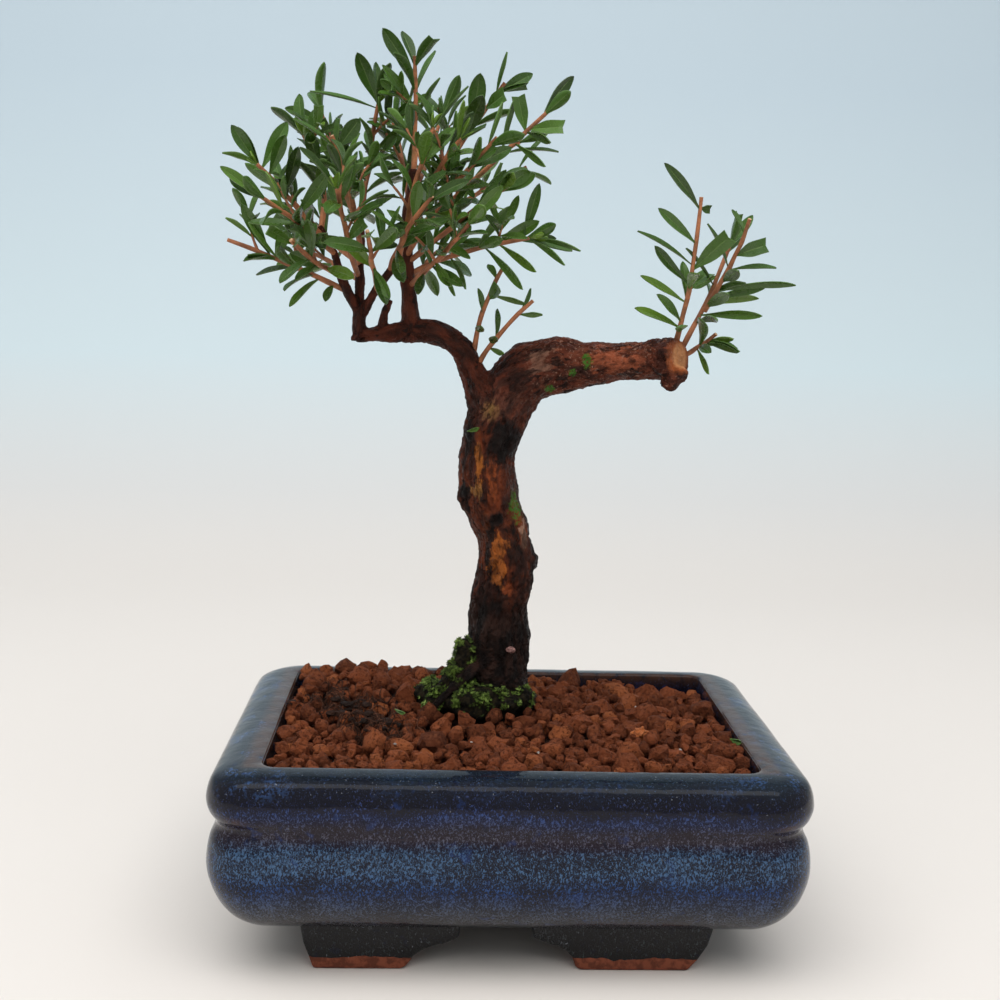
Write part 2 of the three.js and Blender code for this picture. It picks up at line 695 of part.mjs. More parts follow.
function makeMoss(grow) {
  return joined(MOSS_CUSHIONS.map(({ centre, radii }, i) => (
    lump(centre, grown(radii, grow), FIRST_MOSS_SEED + i, MOSS_UNEVENNESS)
  )));
}

// Height of the soil under its top grains: heaped at the left back and round the trunk,
// and low in the right back corner
function soilHeight(x, y) {
  const heap = (middleX, middleY, widthX, widthY) => (
    Math.exp(-(((x - middleX) / widthX) ** 2) - ((y - middleY) / widthY) ** 2)
  );
  const left = 4.6 * heap(-36, 27, 36, 22);
  const trunk = 4.4 * heap(-4, 13, 20, 16);
  const rightBack = 3 * heap(62, 36, 22, 16);
  return SOIL_LEVEL + left + trunk - rightBack;
}

// A bed whose top is raised in grains. Each grain is one raised crossing of an uneven net,
// and the crossings round it are the gaps.
function makeSoilBed() {
  const height = SOIL_LEVEL - POT_FLOOR;
  const columns = 2 * Math.round(BED_WIDTH / GRAIN_PITCH);
  const rows = 2 * Math.round(BED_DEPTH / GRAIN_PITCH);
  const geometry = new THREE.BoxGeometry(BED_WIDTH, BED_DEPTH, height, columns, rows, 1);
  geometry.translate(0, 0, SOIL_LEVEL - height / 2);
  const position = geometry.attributes.position;
  for (let i = 0; i < position.count; i += 1) {
    const column = Math.round((position.getX(i) / BED_WIDTH + 0.5) * columns);
    const row = Math.round((position.getY(i) / BED_DEPTH + 0.5) * rows);
    const seed = FIRST_GRAIN_SEED + row * (columns + 1) + column;
    const onWall = column === 0 || row === 0 || column === columns || row === rows;
    const stray = onWall ? 0 : GRAIN_STRAY * GRAIN_PITCH;
    const x = position.getX(i) + stray * (draw(seed, 3, 1) - 0.5);
    const y = position.getY(i) + stray * (draw(seed, 4, 1) - 0.5);
    const isGrain = column % 2 === 1 && row % 2 === 1;
    const raised = isGrain ? 0.55 + 0.4 * draw(seed, 5, 1) : 0.3 * draw(seed, 5, 1) - 0.25;
    const top = position.getZ(i) > SOIL_LEVEL - 1;
    if (top) position.setXYZ(i, x, y, soilHeight(x, y) + GRAIN_HEIGHT * raised);
  }
  return solidOf(geometry);
}

function makeSoil(woodRoom, mossRoom) {
  let soil = makeSoilBed().intersect(roundedRectangleTurning(BED_PROFILE));
  for (const side of [-1, 1]) {
    const room = MESH_SIDE + 2 * GAP;
    const top = MESH_THICKNESS + 2 * GAP;
    soil = soil.subtract(box(room, room, 2 * top, [side * DRAIN_HOLE_PLACE, 0, POT_FLOOR + GAP]));
  }
  return mainBody(soil.subtract(woodRoom).subtract(mossRoom));
}

// Point and tangent of a shoot's curve at a fraction of its way
function shootPoint(shoot, t) {
  const point = vector(shoot.base).multiplyScalar((1 - t) ** 2);
  point.addScaledVector(vector(shoot.bend), 2 * t * (1 - t));
  return point.addScaledVector(vector(shoot.tip), t * t);
}

function shootTangent(shoot, t) {
  const tangent = vector(shoot.bend).sub(vector(shoot.base)).multiplyScalar(1 - t);
  return tangent.addScaledVector(vector(shoot.tip).sub(vector(shoot.bend)), t).normalize();
}

// The direction square to a shoot from which its leaves' turns are counted
function leafStart(shoot, t, order) {
  const tangent = shootTangent(shoot, t);
  const turn = THREE.MathUtils.degToRad(SHOOT_TURN * order);
  return squareTo(tangent, FIRST_LEAF).applyAxisAngle(tangent, turn);
}

// A twig with a flat side towards each leaf of its pairs
function makeTwig(shoot, order) {
  const route = [shoot.base, shoot.bend, shoot.tip].map(vector);
  const curve = new THREE.QuadraticBezierCurve3(...route);
  const radius = (fraction) => THREE.MathUtils.lerp(TWIG_RADIUS_BASE, TWIG_RADIUS_TIP, fraction);
  const middle = shootTangent(shoot, 0.5);
  const start = leafStart(shoot, 0.5, order).applyAxisAngle(middle, Math.PI / 4);
  return bentCylinder(curve, radius, TWIG_SIDES, TWIG_STEPS, start);
}

// A leaf whose tip is given. Its blade faces the viewer, then rolls about its own length.
function leafToTip(shoot, [t, tip, width, roll, trimmed = false]) {
  const root = shootPoint(shoot, t);
  const along = vector(tip).sub(root);
  const length = along.length();
  along.normalize();
  const across = new THREE.Vector3(0, 1, 0).cross(along).normalize();
  across.applyAxisAngle(along, THREE.MathUtils.degToRad(roll));
  const outline = trimmed ? TRIMMED_LEAF : WHOLE_LEAF;
  const tangent = shootTangent(shoot, t);
  return { root, along, across, length, width, curl: OUTLINE_CURL, outline, tangent };
}

// One leaf of a pair. Each pair stands at a right angle to the one before it.
function pairedLeaf(shoot, order, pair, side) {
  const chance = (count) => draw(order + 1, 2 * pair + side + 1, count);
  const share = shoot.pairs > 1 ? pair / (shoot.pairs - 1) : 0;
  const t = THREE.MathUtils.lerp(shoot.from, shoot.until ?? LAST_PAIR, share);
  const tangent = shootTangent(shoot, t);
  const outward = leafStart(shoot, t, order);
  const turn = PAIR_TURN * pair + 180 * side + TURN_RANGE * (chance(1) - 0.5);
  outward.applyAxisAngle(tangent, THREE.MathUtils.degToRad(turn));
  const middle = THREE.MathUtils.lerp(FIRST_SPREAD, LAST_SPREAD, share);
  const spread = THREE.MathUtils.degToRad(middle + SPREAD_RANGE * (chance(2) - 0.5));
  const along = tangent.clone().multiplyScalar(Math.cos(spread));
  along.addScaledVector(outward, Math.sin(spread)).normalize();
  const across = new THREE.Vector3().crossVectors(outward, tangent).normalize();
  across.applyAxisAngle(along, THREE.MathUtils.degToRad(ROLL_RANGE * (chance(3) - 0.5)));
  const trimmed = chance(7) < TRIMMED_SHARE;
  const kept = trimmed ? TRIMMED_LENGTH : 1;
  const length = kept * BLADE_LENGTH * THREE.MathUtils.lerp(0.78, 1.18, chance(4));
  const width = BLADE_WIDTH * THREE.MathUtils.lerp(0.82, 1.18, chance(5));
  const curl = CURL_RANGE * (chance(6) - 0.35);
  const outline = trimmed ? TRIMMED_LEAF : WHOLE_LEAF;
  return { root: shootPoint(shoot, t), along, across, length, width, curl, outline, tangent };
}

// The blade turned about its shoot and lifted or dropped, both in degrees
function swung(leaf, [turn, lift]) {
  const along = leaf.along.clone().applyAxisAngle(leaf.tangent, THREE.MathUtils.degToRad(turn));
  const across = leaf.across.clone().applyAxisAngle(leaf.tangent, THREE.MathUtils.degToRad(turn));
  along.applyAxisAngle(across, THREE.MathUtils.degToRad(lift));
  return { ...leaf, along, across };
}

// A leaf's midrib bends evenly, by its curl, towards the side that its upper face is on
function ribPoint(leaf, t) {
  const face = new THREE.Vector3().crossVectors(leaf.across, leaf.along);
  const bend = leaf.curl * t;
  const forward = (leaf.length * Math.sin(bend)) / leaf.curl;
  const rise = (leaf.length * (1 - Math.cos(bend))) / leaf.curl;
  return leaf.root.clone().addScaledVector(leaf.along, forward).addScaledVector(face, rise);
}

// A blade: a box drawn out along the midrib. The margin makes it larger all round.
function makeBlade(leaf, start, margin) {
  const spans = leaf.outline.length - 1;
  const geometry = new THREE.BoxGeometry(1, 1, 1, 1, spans, 1);
  const position = geometry.attributes.position;
  const face = new THREE.Vector3().crossVectors(leaf.across, leaf.along);
  for (let i = 0; i < position.count; i += 1) {
    const [reached, share] = leaf.outline[Math.round((position.getY(i) + 0.5) * spans)];
    const t = Math.max(reached, start);
    const point = ribPoint(leaf, t);
    point.addScaledVector(leaf.across, position.getX(i) * (leaf.width * share + 2 * margin));
    point.addScaledVector(face, position.getZ(i) * (BLADE_THICKNESS + 2 * margin));
    position.setXYZ(i, point.x, point.y, point.z);
  }
  return solidOf(geometry);
}

function boxesMeet(a, b) {
  return [0, 1, 2].every((axis) => a.min[axis] <= b.max[axis] && b.min[axis] <= a.max[axis]);
}

function meets(solid, others) {
  const around = solid.boundingBox();
  return others.some((other) => {
    if (!boxesMeet(around, other.around)) return false;
    const shared = solid.intersect(other.solid);
    const empty = shared.isEmpty();
    shared.delete();
    return !empty;
  });
}

const placed = (spray, solid) => ({ spray, solid, around: solid.boundingBox() });

// Every spray of the tree: twigs first, then each leaf where it stays clear of all the rest
function makeSprays(woodRoom) {
  const pieces = SHOOTS.map((shoot, order) => (
    placed(shoot.spray, makeTwig(shoot, order).subtract(woodRoom))
  ));
  const barrier = [placed('wood', woodRoom)];
  SHOOTS.forEach((shoot, order) => {
    const leaves = shoot.leaves.map((leaf) => leafToTip(shoot, leaf));
    for (let pair = 0; pair < shoot.pairs; pair += 1) {
      leaves.push(pairedLeaf(shoot, order, pair, 0), pairedLeaf(shoot, order, pair, 1));
    }
    const elsewhere = (piece) => piece.spray !== shoot.spray;
    const here = (piece) => piece.spray === shoot.spray;
    for (const leaf of leaves) {
      const choice = SWINGS.map((swing) => swung(leaf, swing)).find((candidate) => {
        const whole = makeBlade(candidate, 0, BLADE_CLEARANCE);
        const outer = makeBlade(candidate, BLADE_OUTER_PART, BLADE_CLEARANCE);
        const others = [...barrier, ...pieces.filter(elsewhere)];
        return !meets(whole, others) && !meets(outer, pieces.filter(here));
      });
      if (choice) pieces.push(placed(shoot.spray, makeBlade(choice, 0, 0)));
    }
  });
  const names = [...new Set(SHOOTS.map((shoot) => shoot.spray))];
  return names.map((name) => {
    const own = pieces.filter((piece) => piece.spray === name).map((piece) => piece.solid);
    return namedMesh(`spray_${name}`, mainBody(joined(own)), COLOURS.foliage);
  });
}

function makeBonsai() {
  const bonsai = new THREE.Group();
  const wood = makeWood(0);
  const woodRoom = makeWood(GAP);
  bonsai.add(namedMesh('pot', makePot(), COLOURS.pot));
  bonsai.add(namedMesh('drain_mesh_left', makeDrainMesh(-1), COLOURS.drainMesh));
  bonsai.add(namedMesh('drain_mesh_right', makeDrainMesh(1), COLOURS.drainMesh));
  bonsai.add(namedMesh('soil', makeSoil(woodRoom, makeMoss(GAP)), COLOURS.soil));
  bonsai.add(namedMesh('trunk', wood, COLOURS.wood));
  bonsai.add(namedMesh('moss', mainBody(makeMoss(0).subtract(woodRoom)), COLOURS.moss));
  bonsai.add(...makeSprays(woodRoom));
  return bonsai;
}

export default makeBonsai();
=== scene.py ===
import math
import random
import bmesh
import bpy
import numpy as np
from bpy.props import FloatProperty, FloatVectorProperty, IntProperty, PointerProperty
from mathutils import Matrix, Vector, noise
from mathutils.bvhtree import BVHTree
from mathutils.kdtree import KDTree


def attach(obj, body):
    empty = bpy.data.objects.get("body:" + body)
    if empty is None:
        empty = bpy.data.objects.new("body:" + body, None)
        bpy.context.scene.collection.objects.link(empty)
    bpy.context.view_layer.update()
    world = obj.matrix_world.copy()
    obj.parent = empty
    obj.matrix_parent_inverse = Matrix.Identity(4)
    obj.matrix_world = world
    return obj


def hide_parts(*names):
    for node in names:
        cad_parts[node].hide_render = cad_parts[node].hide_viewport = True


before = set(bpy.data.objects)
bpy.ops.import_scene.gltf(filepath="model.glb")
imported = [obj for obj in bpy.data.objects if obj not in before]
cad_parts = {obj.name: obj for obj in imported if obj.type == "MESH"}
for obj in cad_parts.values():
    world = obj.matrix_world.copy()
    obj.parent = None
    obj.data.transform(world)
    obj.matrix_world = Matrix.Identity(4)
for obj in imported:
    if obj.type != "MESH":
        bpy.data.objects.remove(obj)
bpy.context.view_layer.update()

bl_info = {
    "name": "Syzygium bonsai",
    "version": (1, 0, 0),
    "blender": (4, 5, 0),
    "location": "3D View > Sidebar > Bonsai",
    "description": "Makes a small syzygium bonsai in its glazed pot, over the solids of the frame",
    "category": "Add Mesh",
}

# Places and sizes are in millimetres, apart from those of the stage
MM = 0.001
MERGE_DISTANCE = 0.005
ROOT_BODY = "root"

# What all settings of colour have in common, and all settings of length
COLOUR = {"subtype": "COLOR", "size": 3, "min": 0, "max": 1}
LENGTH = {"unit": "LENGTH", "precision": 5}

# Pot
POT_WIDTH = 152
POT_DEPTH = 108
POT_CORNER_RADIUS = 13
CORNER_SHRINK = 0.85
SHARPEST_CORNER = 2.5
RIM_END_EXTRA = 3.2
CORNER_STEPS = 9
LONG_SIDE_STEPS = 14
SHORT_SIDE_STEPS = 9
PROFILE_STEPS = 4
UNDERSIDE_HEIGHT = 9.5
GROOVE_BOTTOM = 34
GROOVE_TOP = 46
GROOVE_EDGE = 43.4
FOOT_FRONT = 41
FOOT_DEPTH = 19
FOOT_EDGE = 0.9
DRAIN_HOLE_PLACE = 32
DRAIN_HOLE_RADIUS = 6
DRILL_LENGTH = 50
# How much of the glaze is flecked, by share of the pot's height
GLAZE_AMOUNTS = [
    (0.0, 0.2), (0.18, 0.25), (0.26, 0.6), (0.38, 0.8), (0.47, 0.6), (0.54, 0.76), (0.61, 0.7),
    (0.66, 0.45), (0.71, 0.5), (0.755, 0.68), (0.79, 0.18), (0.90, 0.14),
]

# Soil
SOIL_LEVEL = 51.2
OPENING_X = 61.6
OPENING_Y = 42.9
OPENING_CORNER = 5
# Heaps and hollows in the soil: middle and width on each axis, and height
SOIL_HEAPS = [(-36, 27, 36, 22, 4.6), (-4, 13, 20, 16, 4.4), (62, 36, 22, 16, -3)]
# The bed's top: how deep it lies under the grains, its edge as insets, and its rings as shares
BED_DEPTH = 3.4
BED_EDGE = (11.3, RIM_END_EXTRA)
BED_RINGS = (1.0, 0.92, 0.84, 0.74, 0.64, 0.54, 0.44, 0.34, 0.24, 0.14, 0.05)
# Grains, and the map of heights on which they come to rest
GRAIN_MODELS = 9
GRAIN_STRETCH = ((0.85, 1.3), (0.8, 1.15), (0.75, 1.05))
FACETS = 8
PLACES_TRIED = 7
HIGHEST_GRAIN = 1.9
LOWEST_GRAIN_DEPTH = 3.2
MAP_REACH_X = 66
MAP_REACH_Y = 48
MAP_CELL = 0.5
UNDER_SHARE = 0.8
TOP_SHARE = 0.85
TRUNK_FOOT = (-2, 14)
TRUNK_RADIUS = 8.2
TRUNK_CLEARANCE = 9
MOSS_CLEARANCE = 0.3

# Wood and moss
STEM_OFFSET = 200
CUSHION_FACE_SIZE = 0.8
CUSHION_RELIEF = 0.9

# Growth rule of the leaves, in degrees, millimetres and shares
BLADE_LENGTH = 12.6
BLADE_WIDTH = 3.4
LAST_PAIR = 0.97
TRIMMED_SHARE = 0.14
TRIMMED_LENGTH = 0.72
PAIR_TURN = 90
SHOOT_TURN = 55
FIRST_SPREAD = 58
LAST_SPREAD = 34
TURN_RANGE = 26
SPREAD_RANGE = 16
ROLL_RANGE = 60
OUTLINE_CURL = 0.25
CURL_RANGE = 0.7
CROWN_CENTRE = Vector((-34, 4, 194))
FIRST_LEAF = Vector((0.36, 0.48, -0.8))
WIDEST_WHOLE = 0.64
WIDEST_TRIMMED = 0.6
MOST_STRAY = 0.75

# Blades and twigs as they are modelled here, over the growth rule
PLACED_LENGTH_SHARE = 1.06
PLACED_WIDTH_SHARE = 0.88
PAIRED_WIDTH_SHARE = 0.94
LEAST_CURL = 0.05
BLADE_COLUMNS = 4
BLADE_ROWS = 10
BLADE_FOOT = 0.09
BLADE_TIP = 0.05
TWIG_PARTS = 6
SIDE_TWIG_TURN = 137.5
YOUNG_PAIR_TURN = 31
YOUNG_TONE = 0.97

# Ways in which a blade turned about its shoot, then lifted or dropped, to stay clear of the rest
SWINGS = [
    (0, 0), (24, 0), (-24, 0), (0, -15), (0, 15), (46, 0), (-46, 0), (24, -15), (-24, -15),
]

# The pot's outline from the edge of its underside, up the outside, over the rim and down to
# the edge of its floor: inset from the widest plan, height, and further inset at the short ends
POT_PROFILE = [
    (24, 9, 0), (17, 10.2, 0), (11, 12.6, 0), (6, 16, 0), (2.5, 20.5, 0), (0.6, 25.5, 0),
    (0, 29.5, 0), (0.3, 33.5, 0), (1, 36.6, 0), (2.1, 38.9, 0), (2.4, 40.2, 0), (1.9, 41.5, 0),
    (0.8, 43.2, 0), (0.1, 45.4, 0), (0.1, 47.4, 0), (0.7, 49.9, 0), (2, 52.2, 0),
    (4, 53.7, RIM_END_EXTRA / 4),
    (6.5, 54.4, RIM_END_EXTRA / 2), (9.5, 54.5, RIM_END_EXTRA), (10.4, 53.9, RIM_END_EXTRA),
    (10.7, 52.4, RIM_END_EXTRA), (11.4, 40, RIM_END_EXTRA), (13.5, 22, RIM_END_EXTRA),
    (17, 16.2, RIM_END_EXTRA), (22, 15, RIM_END_EXTRA),
]
BED_PROFILE = [
    (22.4, 15.3, RIM_END_EXTRA), (17.4, 16.6, RIM_END_EXTRA), (13.9, 22.2, RIM_END_EXTRA),
    (11.8, 40, RIM_END_EXTRA), (11.3, 47, RIM_END_EXTRA),
]

# A foot's front outline, with its carved bracket on the side that faces the pot's middle
LEFT_FOOT = [
    (-53, 12.5), (-52, 7), (-50.5, 3), (-49.5, 0), (-27, 0), (-25.5, 1), (-24, 3.5), (-21, 5.6),
    (-16, 7), (-12.5, 8.6), (-12, 12.5),
]
RIGHT_FOOT = [
    (6, 12.5), (6.5, 8.6), (11, 7), (14.5, 5.6), (16.5, 3.5), (17.5, 1), (18.5, 0), (46.5, 0),
    (49, 3), (51.5, 7), (53, 12.5),
]

# Woody stems: points on the axis, the stem's radius at each, and how strongly it is ridged
STEMS = [
    # Trunk, from below the soil up its S-curve and out along the right limb to the cut stump
    ([(-2, 14, 30), (-2, 14, 46), (-2, 14, 58), (-2.3, 13.5, 66), (-2.3, 13, 74),
      (-2.2, 13, 84), (-0.7, 12, 95), (-2.4, 12, 104.2), (-6.1, 12, 115.6),
      (-6.2, 12, 127.8), (-3.7, 12, 139.1), (-0.2, 12, 145.4), (4.9, 11.5, 149.7),
      (12.6, 11, 152.2), (20.9, 10, 152.6), (30.3, 8, 153.6), (38.3, 5, 154.2),
      (43.8, 0.5, 154.8)],
     [6, 8, 9.6, 8.8, 8.2, 8, 7.7, 7.5, 8.8, 8.1, 8.2, 8.1, 7.9, 7.6, 6.4, 5.2, 5.4, 5.9], 0.06),
    # Left limb, from inside the trunk over its arch to the sharp elbow
    ([(-5.5, 12, 137), (-9.4, 12, 145.1), (-12.1, 12, 151.2), (-14.9, 11, 155.7),
      (-20.3, 10, 159.3), (-25.3, 10, 160.5), (-31.9, 9, 159.8), (-37, 8, 159.2),
      (-43.6, 8, 158.7)],
     [6, 4.9, 3.7, 3.5, 3.4, 3.2, 2.7, 2.4, 2.2], 0.06),
    # Upright on the elbow, then its left and right stems
    ([(-42.9, 8, 157.2), (-43, 8, 165), (-43, 9, 171), (-43, 10, 178.5), (-43, 10, 186),
      (-43.5, 10, 192)],
     [2.3, 1.9, 1.4, 1.2, 1.1, 0.95], 0.04),
    ([(-43, 8, 164), (-47, 6, 172.5), (-49.5, 3, 180.5), (-53.5, 2, 187.5)],
     [1.5, 1.3, 1.15, 0.95], 0.04),
    ([(-42.5, 8, 164), (-38.5, 5, 171), (-34.5, 2, 176), (-31.5, -1, 181)],
     [1.5, 1.3, 1.15, 0.95], 0.04),
    # Thick upright that carries the leader
    ([(-29, 10, 159.5), (-29, 10, 163), (-29.5, 10, 169), (-30.5, 10, 178),
      (-30.5, 11, 187.5), (-30, 11, 195.5), (-29, 9, 203.5)],
     [3.6, 2.7, 2.3, 2, 1.6, 1.3, 1], 0.05),
    # Cut stub on the left limb
    ([(-37, 8, 158.8), (-36.2, 7, 164.6), (-34.7, 6, 168.6)], [1.5, 1, 0.9], 0),
    # Bare root over the moss on the left, then the roots to the right, back and left back
    ([(-5, 11, 67), (-9.5, 5.6, 65.6), (-14.6, 3.2, 61.8), (-18, 1.8, 58.8), (-20.8, 1, 55.6)],
     [2.2, 1.5, 1.3, 1.15, 0.9], 0),
    ([(-1, 13, 60), (7, 10, 55), (14, 7, 47)], [5, 3, 1.4], 0),
    ([(-2, 15, 60), (2, 23, 54), (5, 30, 46)], [5, 3, 1.4], 0),
    ([(-3, 15, 60), (-12, 20, 55), (-20, 24, 47)], [5, 3, 1.4], 0),
]

# Rounded swellings on the wood and cushions of moss: centre, then radius on each axis
SWELLINGS = [
    ((42, 0.5, 149.2), (2.9, 2.6, 2.8)),
    ((44, -0.6, 151), (2.4, 2.2, 2.2)),
    ((38.5, 5, 158.4), (2.2, 2.2, 1.6)),
    ((-12.4, 10.5, 114.6), (2.6, 3.6, 5)),
]
MOSS_CUSHIONS = [
    ((-17, 6.5, 57), (6, 5, 4.6)),
    ((-21.5, 11, 57), (4.6, 4.6, 3.6)),
    ((-9.5, 2.8, 57), (7, 5, 4.6)),
    ((-2, 3, 56.6), (5.6, 4.4, 4)),
    ((4.6, 6, 56.8), (3.2, 3, 3.4)),
    ((-13.5, 7.6, 62.6), (4.8, 4.6, 4.6)),
    ((-11.8, 9, 69.4), (3, 3.4, 5)),
]

# Places on the bark: centre, reach on each axis, strength and colour
BARK_SPOTS = [
    ((-9.5, 4, 124.5), (1.3, 5, 6.5), 0.9, (0.36, 0.11, 0.018)),
    ((-9.6, 4, 117), (1.9, 5, 2.0), 0.75, (0.34, 0.15, 0.04)),
    ((-5.6, 4, 120), (1.8, 5, 5.5), 0.75, (0.26, 0.055, 0.012)),
    ((-3.2, 4, 99.5), (2.6, 5, 6.5), 0.9, (0.38, 0.105, 0.018)),
    ((-3.8, 4, 92), (2.0, 5, 2.6), 0.8, (0.34, 0.10, 0.02)),
    ((-0.2, 4, 90), (1.4, 5, 2.8), 0.6, (0.24, 0.05, 0.012)),
    ((3.6, 5, 105), (1.4, 5, 3.6), 0.7, (0.42, 0.24, 0.16)),
    ((-7.2, 4, 106), (1.5, 5, 5), 0.5, (0.16, 0.04, 0.012)),
    ((-6, 4, 139.6), (2.2, 5, 2.4), 0.7, (0.30, 0.16, 0.05)),
    ((-1.5, 4, 141), (6, 5, 6), 0.55, (0.15, 0.05, 0.03)),
    ((6.6, 4, 152.5), (3.4, 6, 3.2), 0.6, (0.26, 0.13, 0.085)),
    ((26.5, 3, 154), (9, 6, 3.5), 0.75, (0.32, 0.083, 0.035)),
    ((36.5, 3, 151), (4, 6, 5), 0.5, (0.14, 0.034, 0.016)),
    ((17, 3, 151), (3, 6, 4), 0.5, (0.03, 0.01, 0.006)),
    ((-2.0, 4, 131), (5.6, 6, 6.6), 0.97, (0.007, 0.003, 0.002)),
    # Painted shade: the near-black spot over the hole in the trunk, where one of the knots is
    # hollow
    ((-4.2, 4, 109.5), (2.2, 5, 2.4), 0.95, (0.010, 0.005, 0.004)),
    ((39.6, 2, 155.5), (2.6, 7, 6.5), 0.8, (0.045, 0.012, 0.007)),
    ((43, 0, 150), (4.5, 5, 2.6), 0.85, (0.06, 0.014, 0.007)),
    ((2.5, 5, 135), (4, 5, 6), 0.6, (0.014, 0.005, 0.004)),
    ((-0.5, 4, 121.5), (4, 5, 3.6), 0.6, (0.06, 0.014, 0.006)),
    ((3.5, 6, 119), (2, 5, 6), 0.6, (0.014, 0.005, 0.004)),
    ((-0.5, 4, 149), (4.5, 5, 4), 0.75, (0.024, 0.007, 0.004)),
    ((4.5, 6, 97), (2.6, 6, 9), 0.7, (0.016, 0.006, 0.004)),
]
# Peat with fine roots, in a band across the soil
PEAT_MIDDLE = (-41, 0)
PEAT_RUN = (9, -11)
CLODS = 190
FINE_ROOTS = 380
ABOVE_SOIL = 90
# Small bits of leaf, on the bark and on the soil: start, end and width
BIT_THICKNESS = 0.26
LEAF_BITS = [
    ((-12.9, 4.2, 133.6), (-9.2, 3.2, 135.3), 1.2),
    ((59.2, -18.9, 54.8), (62.4, -18.2, 54.2), 1.7),
    ((-31, -6, 57.6), (-27.5, -7, 57.4), 1.1),
]
ORANGE_GRAIN = (36.2, -11.2)
BARK_NODULE = (0.9, 4.3, 72.2)
# White crumbs on the soil: place and radius
WHITE_BITS = [
    (24.8, -25.4, 1.0), (23.9, -26.3, 0.7), (25.6, -24.2, 0.6), (-10, -20, 0.3), (45, -24, 0.35),
    (38, 10, 0.3), (-30, -28, 0.35), (7, -29, 0.3), (52, 5, 0.3),
]
# Knots on the bark: centre, radius, height of the lip and depth of the hollow
KNOTS = [
    ((-1.4, 4.2, 130.5), 3.2, 0.7, 0.9), ((-4.4, 4.0, 109.5), 2.2, 0.5, 1.2),
    ((6.4, 10, 96.5), 2.2, 0.9, -0.6), ((-10.2, 9, 87), 2.0, 0.6, -0.6),
    ((36.5, 3.5, 157.5), 2.6, 0.6, -0.3), ((33.5, 3, 150.5), 2.4, 0.6, -0.2),
    ((38.6, -1.2, 152.6), 1.7, 0.5, -0.8), ((39.6, -2.4, 156.8), 1.5, 0.4, -0.8),
    ((36.2, -0.4, 155.2), 1.3, 0.3, 0.6), ((40.5, 1, 160), 1.6, 0.4, -0.7),
    ((12, 6, 157.5), 3, 0.5, -0.4), ((19, 4, 156.5), 1.8, 0.4, 0.4),
    ((0.9, 5.0, 72.2), 1.0, 0.0, -0.9),
]
# Moss on the bark: centre and reach on each axis
MOSS_SPOTS = [
    ((1.6, 5.5, 113.4), (2.6, 5, 5.0)), ((19.4, 4, 153.6), (1.4, 4, 2.0)),
    ((15.6, 4, 150.3), (1.2, 4, 1.2)), ((9.6, 4.5, 145.6), (1.6, 4, 1.2)),
]
# The cut end of the right limb
STUMP_CENTRE = Vector((43.8, 0.5, 154.8))
STUMP_NORMAL = Vector((0.77, -0.63, 0.08)).normalized()

